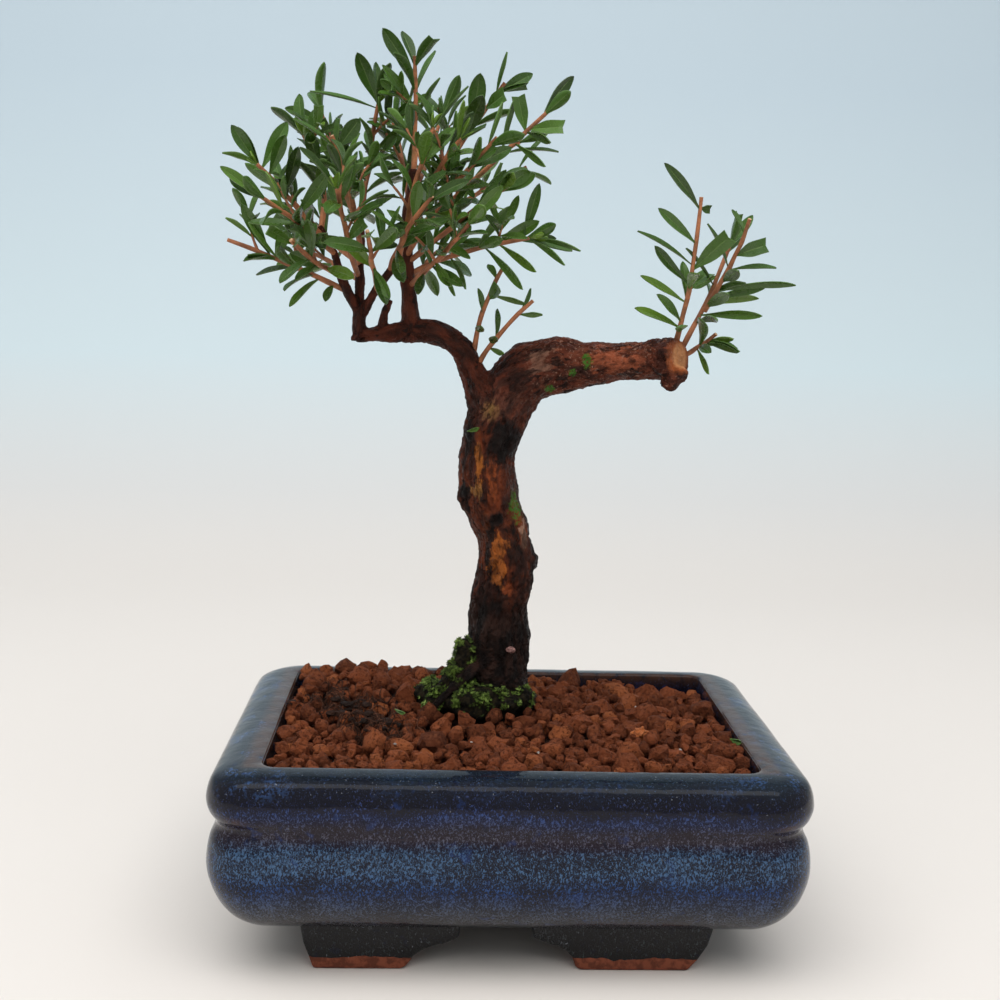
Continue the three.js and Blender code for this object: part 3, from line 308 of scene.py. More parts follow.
# Leafy shoots in the order in which they grew: spray, base, bend, tip, number of leaf pairs,
# fractions where the pairs start and end, then the leaves placed by their tips: fraction along
# the shoot, tip, width, roll in degrees, and True where the leaf was trimmed across
SHOOTS = [
    ("leader", (-29, 9, 202), (-28.5, 8.5, 217.5), (-29, 6, 230.5), 4, 0.25, 0.97,
     [(0.89, (-37.5, 3.5, 238.5), 4.4, 0), (0.55, (-38, 3, 228.5), 3.2, 25)]),
    ("top_back", (-30, 11, 194.5), (-31.5, 22, 205.5), (-37, 27, 224.5), 4, 0.3, 0.97,
     []),
    ("top_right", (-30.5, 11, 188.5), (-20.5, 19.5, 206.5), (-6, 18, 226.5), 4, 0.3, 0.97,
     [(0.73, (-11.5, 16, 230), 5.4, 0), (0.63, (-10.5, 9.5, 224), 5.2, 0),
      (0.87, (-4, 14, 223.5), 4.8, 0, True), (0.99, (2, 20, 227.5), 2.8, 50, True)]),
    ("right_high", (-30.5, 11, 185.5), (-16.5, -0.5, 196.5), (6, -6, 218), 4, 0.25, 0.97,
     [(0.87, (-2, -4.5, 221.5), 4, 0, True), (0.89, (10, -7.5, 213.5), 4.2, 0, True),
      (0.87, (7, -11.5, 210), 2.8, 45), (0.8, (6, -8.5, 204.5), 2.6, 50)]),
    ("right_front", (-30.5, 10, 180.5), (-21, -9, 196), (-9, -16, 208), 4, 0.35, 0.97,
     [(0.79, (-7.5, -14.5, 207.5), 3.6, 0)]),
    ("front_high", (-30.5, 11, 187), (-26, -14, 197.5), (-16.5, -20, 208.5), 4, 0.4, 0.97,
     []),
    ("right_middle", (-30.5, 10, 178.5), (-18.5, 5, 188.5), (-5.5, -8, 197.5), 4, 0.3, 0.97,
     [(1, (2, -10, 200.5), 4.2, 0), (0.96, (-4.5, -12, 204.5), 3.8, 15)]),
    ("right_low", (-30, 10, 175.5), (-18, 12, 182.5), (2.5, 2, 186), 3, 0.3, 0.97,
     [(0.96, (4.5, 5, 199.5), 3.4, 0), (0.75, (5, 2, 190.5), 4, 0),
      (0.91, (8.5, 7.5, 190), 3, 40), (1, (16, 0, 184.5), 2.4, 60),
      (0.98, (12.5, -4, 180), 2.6, 50), (0.79, (5, -0.5, 178), 3, 40),
      (0.69, (2, -2, 173), 3, 35), (0.41, (-13, 3.5, 172.5), 2.6, 55),
      (0.29, (-16, 6, 171), 2.6, 60)]),
    ("right_back", (-30.5, 11, 183.5), (-16.5, 29, 197.5), (1.5, 34, 207), 4, 0.3, 0.97,
     []),
    ("back_high", (-30.5, 11, 192.5), (-26.5, 31, 204.5), (-22, 37, 221), 4, 0.35, 0.97,
     []),
    ("back_low", (-29.5, 10, 171.5), (-26.5, 26, 181), (-17, 35, 186), 4, 0.4, 0.97,
     []),
    ("front_middle", (-32, -1, 180), (-29.5, -17.5, 192), (-23.5, -20, 211), 4, 0.3, 0.97,
     [(0.65, (-22.5, -20.5, 192.5), 3.4, 20)]),
    ("front_low", (-34.5, 2, 176.5), (-32.5, -15, 183), (-24.5, -25, 192.5), 4, 0.35, 0.97,
     [(0.23, (-30, -13, 172.5), 4, 0)]),
    ("front_right", (-29.5, 10, 172.5), (-20.5, -15, 180), (-14, -23, 188), 4, 0.35, 0.97,
     [(0.41, (-22, -14.5, 173.5), 3, 20), (0.23, (-26.5, -7.5, 169.5), 3, 15)]),
    ("middle_front", (-43, 10, 179), (-43, -6.5, 194), (-48, -12, 206.5), 4, 0.3, 0.97,
     [(0.55, (-41.5, -10, 198.5), 3.6, 0), (0.98, (-42, -14, 213), 4.6, 0)]),
    ("middle_high", (-43, 10, 190), (-42, 18, 203.5), (-39, 14, 221), 3, 0.25, 0.97,
     [(1, (-44.5, 12, 233.5), 4.8, 0), (0.97, (-56.5, 12, 221), 3.2, 68),
      (0.6, (-29, 9.5, 216.5), 3.6, 15)]),
    ("middle_back", (-43, 10, 183), (-46.5, 29, 199.5), (-54, 35, 211.5), 4, 0.3, 0.97,
     []),
    ("back_left", (-43, 9, 178), (-59.5, 29, 189.5), (-66.5, 32, 198.5), 4, 0.35, 0.97,
     []),
    ("back_left_low", (-43, 9, 173.5), (-53.5, 27, 180.5), (-61, 34, 182), 4, 0.4, 0.97,
     []),
    ("left_high", (-50.5, 2.5, 182.5), (-59, -3, 192), (-68.5, -8, 202), 2, 0.25, 0.97,
     [(0.98, (-74.5, -8, 211), 3.8, 0), (0.94, (-61.5, -4.5, 212), 4.4, 0),
      (0.85, (-61, -10.5, 209.5), 3.8, 10), (0.64, (-57.5, -9.5, 206.5), 3.9, 0),
      (0.59, (-64.5, -10, 200.5), 4.4, 0)]),
    ("left_middle", (-49.5, 3, 180.5), (-54.5, -14.5, 186), (-65, -22, 192.5), 4, 0.35, 0.97,
     [(1, (-75, -24, 198.5), 3.2, 30), (0.64, (-48.5, -21.5, 199.5), 4, 0)]),
    ("left_low", (-46, 7, 170.5), (-60.5, 1.5, 177.5), (-77, -2, 183), 3, 0.3, 0.6,
     [(0.66, (-73, -1.5, 192), 3.8, 0), (0.63, (-61, -4, 186), 3.6, 0),
      (0.65, (-72.5, -4.5, 177), 2.8, 40), (0.25, (-60, 0.5, 165.5), 3, 40),
      (0.13, (-51.5, 3, 167.5), 2.8, 20)]),
    ("left_top", (-43, 10, 186.5), (-51, 20, 204.5), (-55, 22, 219.5), 4, 0.3, 0.97,
     [(0.9, (-64.5, 18.5, 219), 3.6, 20)]),
    ("left_upright", (-53, 2, 186), (-50.5, 7, 200.5), (-58, 4, 211), 4, 0.3, 0.97,
     [(0.62, (-56.5, 1, 213), 4.2, 0), (0.34, (-52.5, -1.5, 204), 4, 0)]),
    ("left_front", (-47.5, 5, 175), (-52, -14, 176), (-57, -23, 181.5), 3, 0.35, 0.97,
     [(0.49, (-57, -17, 172), 3, 40)]),
    ("front_left", (-43.5, 9, 175), (-46, -22, 188), (-46.5, -27, 195), 4, 0.35, 0.97,
     []),
    ("front_hanging", (-38, 5, 171), (-38.5, -14, 178.5), (-39, -23, 184), 3, 0.4, 0.97,
     [(0.42, (-38.5, -15.5, 169), 3, 20)]),
    ("stump_tall", (42.5, 4.5, 155), (47, 3, 171.5), (47.5, -1, 195.5), 1, 0.5, 0.97,
     [(0.98, (36, -5, 205), 3.4, 20), (0.79, (36, -1.5, 194), 3.2, 10),
      (0.66, (30, -4.5, 186), 2.6, 60), (0.54, (34.5, -4, 184.5), 3.2, 10),
      (0.42, (32, -0.5, 175.5), 3, 40), (0.28, (35.5, -3.5, 171.5), 3.2, 30),
      (0.24, (31, 0, 167), 3.2, 40), (0.2, (43.5, -5, 165), 3.8, 0),
      (0.43, (44.5, 8.5, 180), 3.2, 20), (0.63, (55, -4.5, 188), 5.2, 0, True),
      (0.99, (50, 1, 195), 2.6, 20, True)]),
    ("stump_right", (44, 5, 154.5), (54.5, 8, 174), (58, 9, 186), 2, 0.5, 0.97,
     [(0.59, (43.5, 1.5, 183), 2.6, 60), (0.91, (62, 17, 191.5), 3, 40),
      (0.4, (56.5, -3, 173.5), 3.8, 0), (0.34, (65.5, -1.5, 168), 3, 20),
      (0.28, (53.5, -6, 167), 3, 20), (0.69, (50, 12, 174), 3, 40),
      (0.42, (66.5, 14.5, 173), 3, 35)]),
    ("stump_right", (51.5, 6.8, 168), (57.5, 1.5, 179.5), (59.5, -4, 190), 1, 0.5, 0.97,
     [(0.93, (55.5, -1, 194), 2.6, 50), (0.67, (65, -3.5, 186.5), 4.6, 0, True),
      (0.35, (59.5, -3.5, 181), 4, 0), (0.23, (74.5, 5.5, 177.5), 2.8, 45),
      (0.14, (67, 10, 175.5), 3, 30)]),
    ("stump_low", (43, 4.5, 154), (49, 6.5, 157), (52.5, 3, 160.5), 1, 0.7, 0.97,
     [(0.9, (58.5, 1, 161.5), 2.8, 45), (1, (60, -3, 158.5), 2.6, 50),
      (0.84, (58, -4, 156.5), 2.6, 55), (0.7, (52.5, -3, 156.5), 3, 0),
      (0.62, (53, 0, 151.5), 2.4, 55)]),
    ("crotch_tall", (-12, 11.5, 151.5), (-10, 9, 167), (-4, 6, 178.5), 0, 1, 0.97,
     [(0.63, (-3.5, 4.5, 173), 4, 0, True), (0.68, (2.5, 10, 169.5), 2.2, 50),
      (0.46, (-11.5, 7.5, 172), 2.4, 45), (0.3, (-9.5, 4, 163), 3, 0),
      (0.85, (-8, 12, 178), 2.4, 30)]),
    ("crotch_right", (-11, 12, 149.5), (-7.5, 7, 158.5), (4, 2, 169.5), 0, 1, 0.97,
     [(0.42, (-6, 1, 160.5), 3, 0), (0.36, (-3, 5.5, 155.5), 2.4, 40),
      (0.82, (6.5, 7, 166.5), 2.2, 50), (0.85, (2.5, 7.5, 172.5), 2, 55),
      (0.5, (-6, 13, 166), 2.2, 40)]),
]

# Stage, in metres and watts. A light has its place, what it faces, its width and height, its
# power, its colour, and whether it shows in reflections
FLOOR_SIZE = 5
FLOOR_MIDDLE = -1.4
BACKDROP_HEIGHT = 2.5
BACKDROP_BEND = 0.7
WORLD_STRENGTH = 0.5
WARM_GLOW = (0.95, 0.93, 0.90)
COOL_GLOW = (0.90, 0.95, 1.0)
LIGHTS = [
    ("soft_wide", (-0.1, -0.5, 1.1), (0, 0, 0.12), (1.8, 1.0), 12.8, (1.0, 0.99, 0.97), False),
    ("soft_strip", (-0.1, -0.42, 1.05), (0, 0, 0.12), (1.5, 0.42), 3.0, (1, 1, 1), True),
    ("backdrop_wash", (0, 0.1, 1.3), (0, 0.9, 0.3), (1.6, 0.5), 3.0, (1, 1, 1), False),
]
# The camera: place in millimetres, then its turn to the right, its tilt down and its roll, in
# degrees. Its focal length is counted in pixels of a square image
CAMERA_PLACE = Vector((-19.1, -355.2, 167.7))
CAMERA_TURNS = (2.52, 8.37, 1.64)
FOCAL_PIXELS = 1314.36
IMAGE_PIXELS = 1000
SENSOR_WIDTH = 36


class PotSettings(bpy.types.PropertyGroup):
    glaze_dark: FloatVectorProperty(
        name="Glaze, dark", description="Colour of the glaze between its flecks",
        default=(0.0045, 0.0065, 0.022), **COLOUR)
    glaze_fleck: FloatVectorProperty(
        name="Glaze, flecks", description="Colour of the bright flecks in the glaze",
        default=(0.048, 0.102, 0.195), **COLOUR)
    clay: FloatVectorProperty(
        name="Bare clay", description="Colour of the unglazed clay under the feet",
        default=(0.20, 0.055, 0.028), **COLOUR)
    unevenness: FloatProperty(
        name="Unevenness", description="How far the hand-finished walls stray from true",
        default=0.00018, min=0, max=0.001, **LENGTH)


class SoilSettings(bpy.types.PropertyGroup):
    grain: FloatVectorProperty(
        name="Grain", description="Colour of the baked clay grains",
        default=(0.205, 0.054, 0.020), **COLOUR)
    grain_count: IntProperty(
        name="Grains", description="How many grains lie on the bed", default=1000, min=10, max=2200)
    smallest: FloatProperty(
        name="Smallest", description="Radius of the smallest grain",
        default=0.0013, min=0.0005, max=0.003, **LENGTH)
    largest: FloatProperty(
        name="Largest", description="Radius of the largest grain",
        default=0.0043, min=0.001, max=0.006, **LENGTH)


class WoodSettings(bpy.types.PropertyGroup):
    bark: FloatVectorProperty(
        name="Bark", description="Colour of the dark bark", default=(0.020, 0.008, 0.005), **COLOUR)
    relief: FloatProperty(
        name="Bark relief", description="Depth of the bark's ridges and flakes",
        default=0.00055, min=0, max=0.002, **LENGTH)
    face_size: FloatProperty(
        name="Mesh size", description="Size of the faces that the wood is made of",
        default=0.00046, min=0.0003, max=0.002, **LENGTH)


class MossSettings(bpy.types.PropertyGroup):
    moss: FloatVectorProperty(
        name="Moss", description="Colour of the fresh moss", default=(0.12, 0.19, 0.028), **COLOUR)
    tuft_count: IntProperty(
        name="Tufts", description="How many small tufts grow on the cushions",
        default=1800, min=10, max=5000)


class LeafSettings(bpy.types.PropertyGroup):
    upper: FloatVectorProperty(
        name="Upper face", description="Colour of a leaf's glossy upper face",
        default=(0.054, 0.124, 0.017), **COLOUR)
    under: FloatVectorProperty(
        name="Under face", description="Colour of a leaf's pale under face",
        default=(0.100, 0.195, 0.055), **COLOUR)
    twig: FloatVectorProperty(
        name="Twig", description="Colour of the young twigs", default=(0.54, 0.20, 0.085), **COLOUR)
    thickness: FloatProperty(
        name="Thickness", description="Thickness of a blade",
        default=0.00026, min=0.0001, max=0.001, **LENGTH)


class StageSettings(bpy.types.PropertyGroup):
    floor: FloatVectorProperty(
        name="Floor", description="Colour of the plain floor",
        default=(0.75, 0.70, 0.655), **COLOUR)
    backdrop: FloatVectorProperty(
        name="Backdrop", description="Colour of the plain backdrop",
        default=(0.555, 0.655, 0.72), **COLOUR)
    light: FloatProperty(
        name="Light", description="Strength of the soft lights", default=1.0, min=0, max=10)


# Small steps that every piece uses


def added(add, name, **settings):
    """Adds something with nothing else selected."""
    bpy.ops.object.select_all(action="DESELECT")
    add(**settings)
    obj = bpy.context.object
    obj.name = name
    return obj


def drop(obj):
    bpy.data.objects.remove(obj, do_unlink=True)


def select_only(obj):
    bpy.ops.object.select_all(action="DESELECT")
    obj.select_set(True)
    bpy.context.view_layer.objects.active = obj


def joined(objects, name):
    """Makes one object of several, with one name for the object and its mesh."""
    select_only(objects[0])
    for obj in objects:
        obj.select_set(True)
    bpy.ops.object.join()
    obj = bpy.context.object
    obj.name = name
    obj.data.name = name
    return obj


def close_up(obj):
    """Merges doubles, fills open ends and turns every face outwards."""
    select_only(obj)
    bpy.ops.object.mode_set(mode="EDIT")
    bpy.ops.mesh.select_all(action="SELECT")
    bpy.ops.mesh.remove_doubles(threshold=MERGE_DISTANCE * MM)
    bpy.ops.mesh.fill_holes(sides=0)
    bpy.ops.mesh.select_all(action="SELECT")
    bpy.ops.mesh.normals_make_consistent(inside=False)
    bpy.ops.object.mode_set(mode="OBJECT")


def finish_modifier(obj, kind, **settings):
    select_only(obj)
    modifier = obj.modifiers.new(kind.title(), kind)
    for key, value in settings.items():
        setattr(modifier, key, value)
    bpy.ops.object.modifier_apply(modifier=modifier.name)


def smooth(obj, angle=None):
    """Shades smoothly, with creases where faces meet at more than the angle in degrees."""
    select_only(obj)
    if angle is None:
        bpy.ops.object.shade_smooth()
    else:
        bpy.ops.object.shade_smooth_by_angle(angle=math.radians(angle))


def shaped_grid(name, columns, rows, place):
    """Adds a grid and moves each crossing to its place."""
    obj = added(bpy.ops.mesh.primitive_grid_add, name, x_subdivisions=columns,
                y_subdivisions=rows, size=1)
    for vertex in obj.data.vertices:
        column = round((vertex.co.x + 0.5) * columns)
        row = round((vertex.co.y + 0.5) * rows)
        vertex.co = Vector(place(column, row)) * MM
    return obj


def vertex_values(mesh, field):
    flat = np.empty(3 * len(mesh.vertices), dtype=np.float32)
    mesh.vertices.foreach_get(field, flat)
    return flat.reshape(-1, 3)


def coordinates(mesh):
    return vertex_values(mesh, "co").astype(float)


def set_coordinates(mesh, points):
    mesh.vertices.foreach_set("co", np.asarray(points, dtype=np.float32).ravel())
    mesh.update()


def give_attribute(mesh, name, values, kind="FLOAT"):
    attribute = mesh.attributes.new(name=name, type=kind, domain="POINT")
    field = "value" if kind == "FLOAT" else "vector"
    attribute.data.foreach_set(field, np.asarray(values, dtype=np.float32).ravel())


def give_tone(mesh, tone):
    """One tone, from 0 for dark to 1 for pale, which the material of the piece reads."""
    give_attribute(mesh, "tone", np.full(len(mesh.vertices), tone))


def give_materials(obj, *materials):
    obj.data.materials.clear()
    for material in materials:
        obj.data.materials.append(material)


def copy_of(model, name, points, tone):
    """A copy with its own mesh, at its own place, with its own tone."""
    mesh = model.data.copy()
    set_coordinates(mesh, points * MM)
    give_tone(mesh, tone)
    obj = bpy.data.objects.new(name, mesh)
    bpy.context.collection.objects.link(obj)
    return obj


def surface_tree(mesh):
    """The surface of a mesh, ready for searches in metres."""
    return BVHTree.FromPolygons([vertex.co for vertex in mesh.vertices],
                                [tuple(polygon.vertices) for polygon in mesh.polygons])


def clamped(value, low, high):
    return min(max(value, low), high)


def smoothstep(low, high, value):
    t = clamped((value - low) / (high - low), 0.0, 1.0)
    return t * t * (3 - 2 * t)


def between(first, last, share):
    return first + (last - first) * share


def value_along(values, share):
    """The value at a share of the way through evenly spread ones."""
    place = share * (len(values) - 1)
    before = min(int(place), len(values) - 2)
    return between(values[before], values[before + 1], place - before)


def smooth_path(points, steps):
    """Points of a smooth curve through the given ones, as many steps to each span."""
    rows = [np.array(point, dtype=float) for point in points]
    ends = [2 * rows[0] - rows[1]] + rows + [2 * rows[-1] - rows[-2]]
    path = []
    for i in range(len(rows) - 1):
        a, b, c, d = ends[i:i + 4]
        for step in range(steps):
            t = step / steps
            path.append(0.5 * (2 * b + (c - a) * t + (2 * a - 5 * b + 4 * c - d) * t * t
                               + (3 * b - a - 3 * c + d) * t ** 3))
    path.append(rows[-1])
    return path


# Nodes. They go in the tree of the value that a function is given


class Value:
    """What a node puts out. Sums, differences, products and quotients of it are Math nodes."""

    def __init__(self, tree, socket):
        self.tree = tree
        self.socket = socket

    def __add__(self, other):
        return maths("ADD", self, other)

    def __sub__(self, other):
        return maths("SUBTRACT", self, other)

    def __rsub__(self, other):
        return maths("SUBTRACT", other, self)

    def __mul__(self, other):
        return maths("MULTIPLY", self, other)

    def __truediv__(self, other):
        return maths("DIVIDE", self, other)

    def __rtruediv__(self, other):
        return maths("DIVIDE", other, self)

    def __lt__(self, other):
        return maths("LESS_THAN", self, other)


def feed(tree, socket, value):
    """Links a value to a socket, or sets the socket to a plain number, place or colour."""
    if isinstance(value, Value):
        tree.links.new(value.socket, socket)
    else:
        socket.default_value = value


def put(tree, kind, settings=None, inputs=None, output=0):
    """Adds a node, sets its settings and feeds its inputs. Gives one of its outputs."""
    made = tree.nodes.new(kind)
    for key, value in (settings or {}).items():
        setattr(made, key, value)
    for key, value in (inputs or {}).items():
        feed(tree, made.inputs[key], value)
    return Value(tree, made.outputs[output])


def maths(operation, first, second=0.0):
    tree = (first if isinstance(first, Value) else second).tree
    return put(tree, "ShaderNodeMath", {"operation": operation}, {0: first, 1: second})


def vector_maths(operation, inputs, output="Vector"):
    tree = inputs[0].tree
    return put(tree, "ShaderNodeVectorMath", {"operation": operation}, inputs, output)


def split(place):
    """The X, Y and Z of a place."""
    made = place.tree.nodes.new("ShaderNodeSeparateXYZ")
    feed(place.tree, made.inputs[0], place)
    return [Value(place.tree, socket) for socket in made.outputs]


def spread(value, low, high, first=0.0, last=1.0):
    """Takes a value from one range to another, with soft ends."""
    inputs = {"Value": value, "From Min": low, "From Max": high, "To Min": first, "To Max": last}
    return put(value.tree, "ShaderNodeMapRange",
               {"interpolation_type": "SMOOTHSTEP", "clamp": True}, inputs, "Result")


def opaque(colour):
    return (*colour, 1.0)


def tinted(colour, *factors):
    """The colour with its red, green and blue each made stronger or weaker."""
    return Vector([part * factor for part, factor in zip(colour, factors)])


def blend(share, first, second):
    """A colour between two others, by a share that changes over the surface."""
    colours = [value if isinstance(value, Value) else opaque(value) for value in (first, second)]
    return put(share.tree, "ShaderNodeMix", {"data_type": "RGBA"},
               {0: share, 6: colours[0], 7: colours[1]}, output=2)


def colour_steps(value, stops):
    """A colour for each value, blended between stops."""
    made = value.tree.nodes.new("ShaderNodeValToRGB")
    feed(value.tree, made.inputs["Fac"], value)
    steps = made.color_ramp.elements
    while len(steps) < len(stops):
        steps.new(0.5)
    for step, (place, colour) in zip(steps, stops):
        step.position = place
        step.color = opaque(colour)
    return Value(value.tree, made.outputs["Color"])


def noise_value(position, scale, detail=3.0, roughness=0.55, distortion=0.0):
    inputs = {"Vector": position, "Scale": scale, "Detail": detail, "Roughness": roughness,
              "Distortion": distortion}
    return put(position.tree, "ShaderNodeTexNoise", None, inputs, "Fac")


def sized_position(position, size):
    """Position counted in patterns of the given size in millimetres."""
    return vector_maths("SCALE", {0: position, "Scale": 1.0 / MM / size})


def uneven_patches(position, size, detail, low, high):
    """Uneven patches of one size in millimetres, as a mask from 0 to 1."""
    return spread(noise_value(sized_position(position, size), 1.0, detail, 0.6, 0.3), low, high)


def ragged_spot(position, centre, reach, stray):
    """A round or drawn-out spot at one place, in metres, made ragged, as a mask from 0 to 1."""
    away = vector_maths("SUBTRACT", {0: position, 1: centre})
    shares = vector_maths("DIVIDE", {0: away, 1: reach})
    distance = vector_maths("LENGTH", {0: shares}, "Value")
    return spread(distance + stray, 0.7, 1.1, 1.0, 0.0)


def glaze_flecks(position, size, upright, amount):
    """Dense short flecks, drawn out upright by a share, as a mask from 0 to 1."""
    x, y, z = split(sized_position(position, size))
    drawn = put(position.tree, "ShaderNodeCombineXYZ", None, {"X": x, "Y": y, "Z": z / upright})
    low = 0.66 - amount * 0.22
    return spread(noise_value(drawn, 1.0, 1.0, 0.4, 0.9), low, low + 0.09)


# Masks that several materials share: what makes each, and its inputs. None stands for a place
PATTERNS = {
    "Uneven patches": (uneven_patches, {
        "Position": None, "Size": 5.0, "Detail": 4.0, "Low": 0.42, "High": 0.6}),
    "Ragged spot": (ragged_spot, {
        "Position": None, "Centre": None, "Reach": None, "Stray": 0.0}),
    "Glaze flecks": (glaze_flecks, {
        "Position": None, "Size": 0.7, "Upright": 1.6, "Amount": 0.5}),
}


def pattern_group(name):
    """The node group of a pattern, built when it is first asked for."""
    if name in bpy.data.node_groups:
        return bpy.data.node_groups[name]
    make, inputs = PATTERNS[name]
    tree = bpy.data.node_groups.new(name, "ShaderNodeTree")
    for label, value in inputs.items():
        kind = "NodeSocketVector" if value is None else "NodeSocketFloat"
        socket = tree.interface.new_socket(label, in_out="INPUT", socket_type=kind)
        if value is not None:
            socket.default_value = value
    tree.interface.new_socket("Mask", in_out="OUTPUT", socket_type="NodeSocketFloat")
    given = tree.nodes.new("NodeGroupInput")
    result = tree.nodes.new("NodeGroupOutput")
    mask = make(*[Value(tree, given.outputs[label]) for label in inputs])
    feed(tree, result.inputs["Mask"], mask)
    return tree


def pattern(name, position, **inputs):
    made = position.tree.nodes.new("ShaderNodeGroup")
    made.node_tree = pattern_group(name)
    for key, value in {"Position": position, **inputs}.items():
        feed(position.tree, made.inputs[key], value)
    return Value(position.tree, made.outputs["Mask"])


def patches(position, size, low=0.42, high=0.6, detail=4.0):
    return pattern("Uneven patches", position, Size=size, Low=low, High=high, Detail=detail)


def spot(position, centre, reach, stray):
    return pattern("Ragged spot", position, Centre=Vector(centre) * MM,
                   Reach=Vector(reach) * MM, Stray=stray)


def ragged(position, size, amount):
    """How far an edge strays, to make the edge of a spot ragged."""
    return (noise_value(sized_position(position, size), 1.0, 4.0, 0.65) - 0.5) * (2.0 * amount)


class Surface:
    """A material in the making, with what its patterns read."""

    def __init__(self, name):
        self.material = bpy.data.materials.new(name)
        self.material.use_nodes = True
        self.tree = self.material.node_tree
        self.position = put(self.tree, "ShaderNodeTexCoord", output="Object")

    def attribute(self, name, output="Fac"):
        return put(self.tree, "ShaderNodeAttribute", {"attribute_name": name}, output=output)

    def finish(self, colour, roughness, specular=0.5, relief=None, depth=0.0):
        """Feeds the shader. The relief is a height from 0 to 1, and its depth is in metres."""
        inputs = self.tree.nodes["Principled BSDF"].inputs
        feed(self.tree, inputs["Base Color"], colour)
        feed(self.tree, inputs["Roughness"], roughness)
        inputs["Specular IOR Level"].default_value = specular
        if relief is not None:
            bump = {"Height": relief, "Strength": 1.0, "Distance": depth}
            feed(self.tree, inputs["Normal"],
                 put(self.tree, "ShaderNodeBump", None, bump, "Normal"))
        return self.material


# Materials. Colours are linear, and the sizes of patterns are in millimetres


def glaze_material(settings):
    surface = Surface("navy_glaze")
    at = surface.position
    across, _, upright = split(at)
    # The bands of the glaze run unevenly round the pot
    wander = noise_value(at, 45.0) - 0.5
    height = (upright + wander * 0.006) / 0.06
    dark = Vector(settings.glaze_dark)
    fleck = Vector(settings.glaze_fleck)
    base = colour_steps(height, [
        (0.0, (0.004, 0.003, 0.003)), (0.20, (0.004, 0.004, 0.006)), (0.26, (0.016, 0.013, 0.014)),
        (0.36, (0.009, 0.010, 0.018)), (0.46, dark * 0.6), (0.60, dark * 0.55),
        (0.645, (0.012, 0.008, 0.014)), (0.70, (0.012, 0.007, 0.012)),
        (0.74, (0.004, 0.005, 0.022)), (0.80, (0.004, 0.004, 0.009)),
        (0.86, (0.005, 0.005, 0.009)), (0.90, (0.007, 0.011, 0.017))])
    fleck_colour = colour_steps(height, [
        (0.0, (0.02, 0.03, 0.03)), (0.18, (0.035, 0.04, 0.045)), (0.27, (0.070, 0.078, 0.10)),
        (0.36, (0.050, 0.070, 0.125)), (0.45, (0.015, 0.050, 0.17)), (0.53, fleck),
        (0.61, fleck * 0.9), (0.66, (0.070, 0.066, 0.095)), (0.71, (0.050, 0.060, 0.12)),
        (0.76, (0.026, 0.052, 0.16)), (0.82, (0.018, 0.026, 0.08)), (0.90, (0.03, 0.055, 0.10))])
    amount = colour_steps(height, [(place, (share,) * 3) for place, share in GLAZE_AMOUNTS])
    amount *= patches(at, 13.0, 0.34, 0.64) * 0.5 + 0.55
    flecks = pattern("Glaze flecks", at, Size=0.42, Upright=1.7, Amount=amount)
    fine = pattern("Glaze flecks", at, Size=0.25, Upright=1.3, Amount=amount)
    mask = maths("MAXIMUM", flecks, fine * 0.45)
    colour = blend(mask, base, fleck_colour)
    # Clear drops that let the dark ground through, and brighter clots
    drops = patches(at, 1.9, 0.62, 0.68, 2.0)
    colour = blend(drops * 0.75, colour, dark * 0.6)
    clots = patches(at, 5.0, 0.60, 0.72, 6.0) * spread(upright, 0.012, 0.018, 0.0, 0.4)
    colour = blend(clots, colour, (0.012, 0.040, 0.16))
    # Bright marks on the rim, most of them towards its ends: pale blotches of glaze, partly painted
    # sheen
    rim_blotches_and_sheen = patches(at, 8.0, 0.50, 0.60) * patches(at, 0.8, 0.46, 0.58, 3.0)
    rim_blotches_and_sheen *= spread(upright, 0.048, 0.052, 0.0, 0.6)
    rim_blotches_and_sheen *= spread(maths("ABSOLUTE", across), 0.048, 0.068, 0.12, 1.0)
    colour = blend(rim_blotches_and_sheen, colour, (0.040, 0.095, 0.24))
    glints = patches(at, 0.7, 0.74, 0.78, 1.0)
    colour = blend(glints * 0.5, colour, (0.22, 0.24, 0.27))
    # The clay shows through where the glaze is thin, and is bare at the bottom of the feet
    worn = surface.attribute("thin") * patches(at, 2.5, 0.25, 0.55)
    worn *= spread(upright, 0.011, 0.016, 0.3, 1.0)
    colour = blend(worn * 0.8, colour, (0.065, 0.030, 0.018))
    bare = upright < (noise_value(at, 160.0, 2.0) - 0.5) * 0.003 + 0.0033
    clay = Vector(settings.clay)
    colour = blend(bare, colour, blend(patches(at, 2.0), clay, clay * 0.5))
    roughness = spread(mask, 0.0, 1.0, 0.07, 0.2) + bare * 0.7
    waves = noise_value(at, 160.0, 2.0, 0.5) + mask * 0.06
    return surface.finish(colour, roughness, 0.24, waves, 0.00025)


def mesh_material():
    surface = Surface("black_plastic_mesh")
    at = surface.position
    colour = blend(patches(at, 1.2), (0.012, 0.012, 0.012), (0.03, 0.028, 0.026))
    roughness = spread(noise_value(at, 900.0), 0.3, 0.7, 0.45, 0.7)
    return surface.finish(colour, roughness, relief=noise_value(at, 1500.0), depth=0.0001)


def mottled_material(name, size, dark, pale, roughness, specular=0.5, relief=None):
    """Uneven patches of two colours. The relief has a scale, a roughness and a depth."""
    surface = Surface(name)
    colour = blend(patches(surface.position, size), dark, pale)
    if relief is None:
        return surface.finish(colour, roughness, specular)
    scale, coarse, depth = relief
    height = noise_value(surface.position, scale, 5.0, coarse)
    return surface.finish(colour, roughness, specular, height, depth)


def bit_material(name, colour):
    return mottled_material(name, 0.7, Vector(colour) * 0.5, colour, 0.7,
                            relief=(1500.0, 0.7, 0.0004))


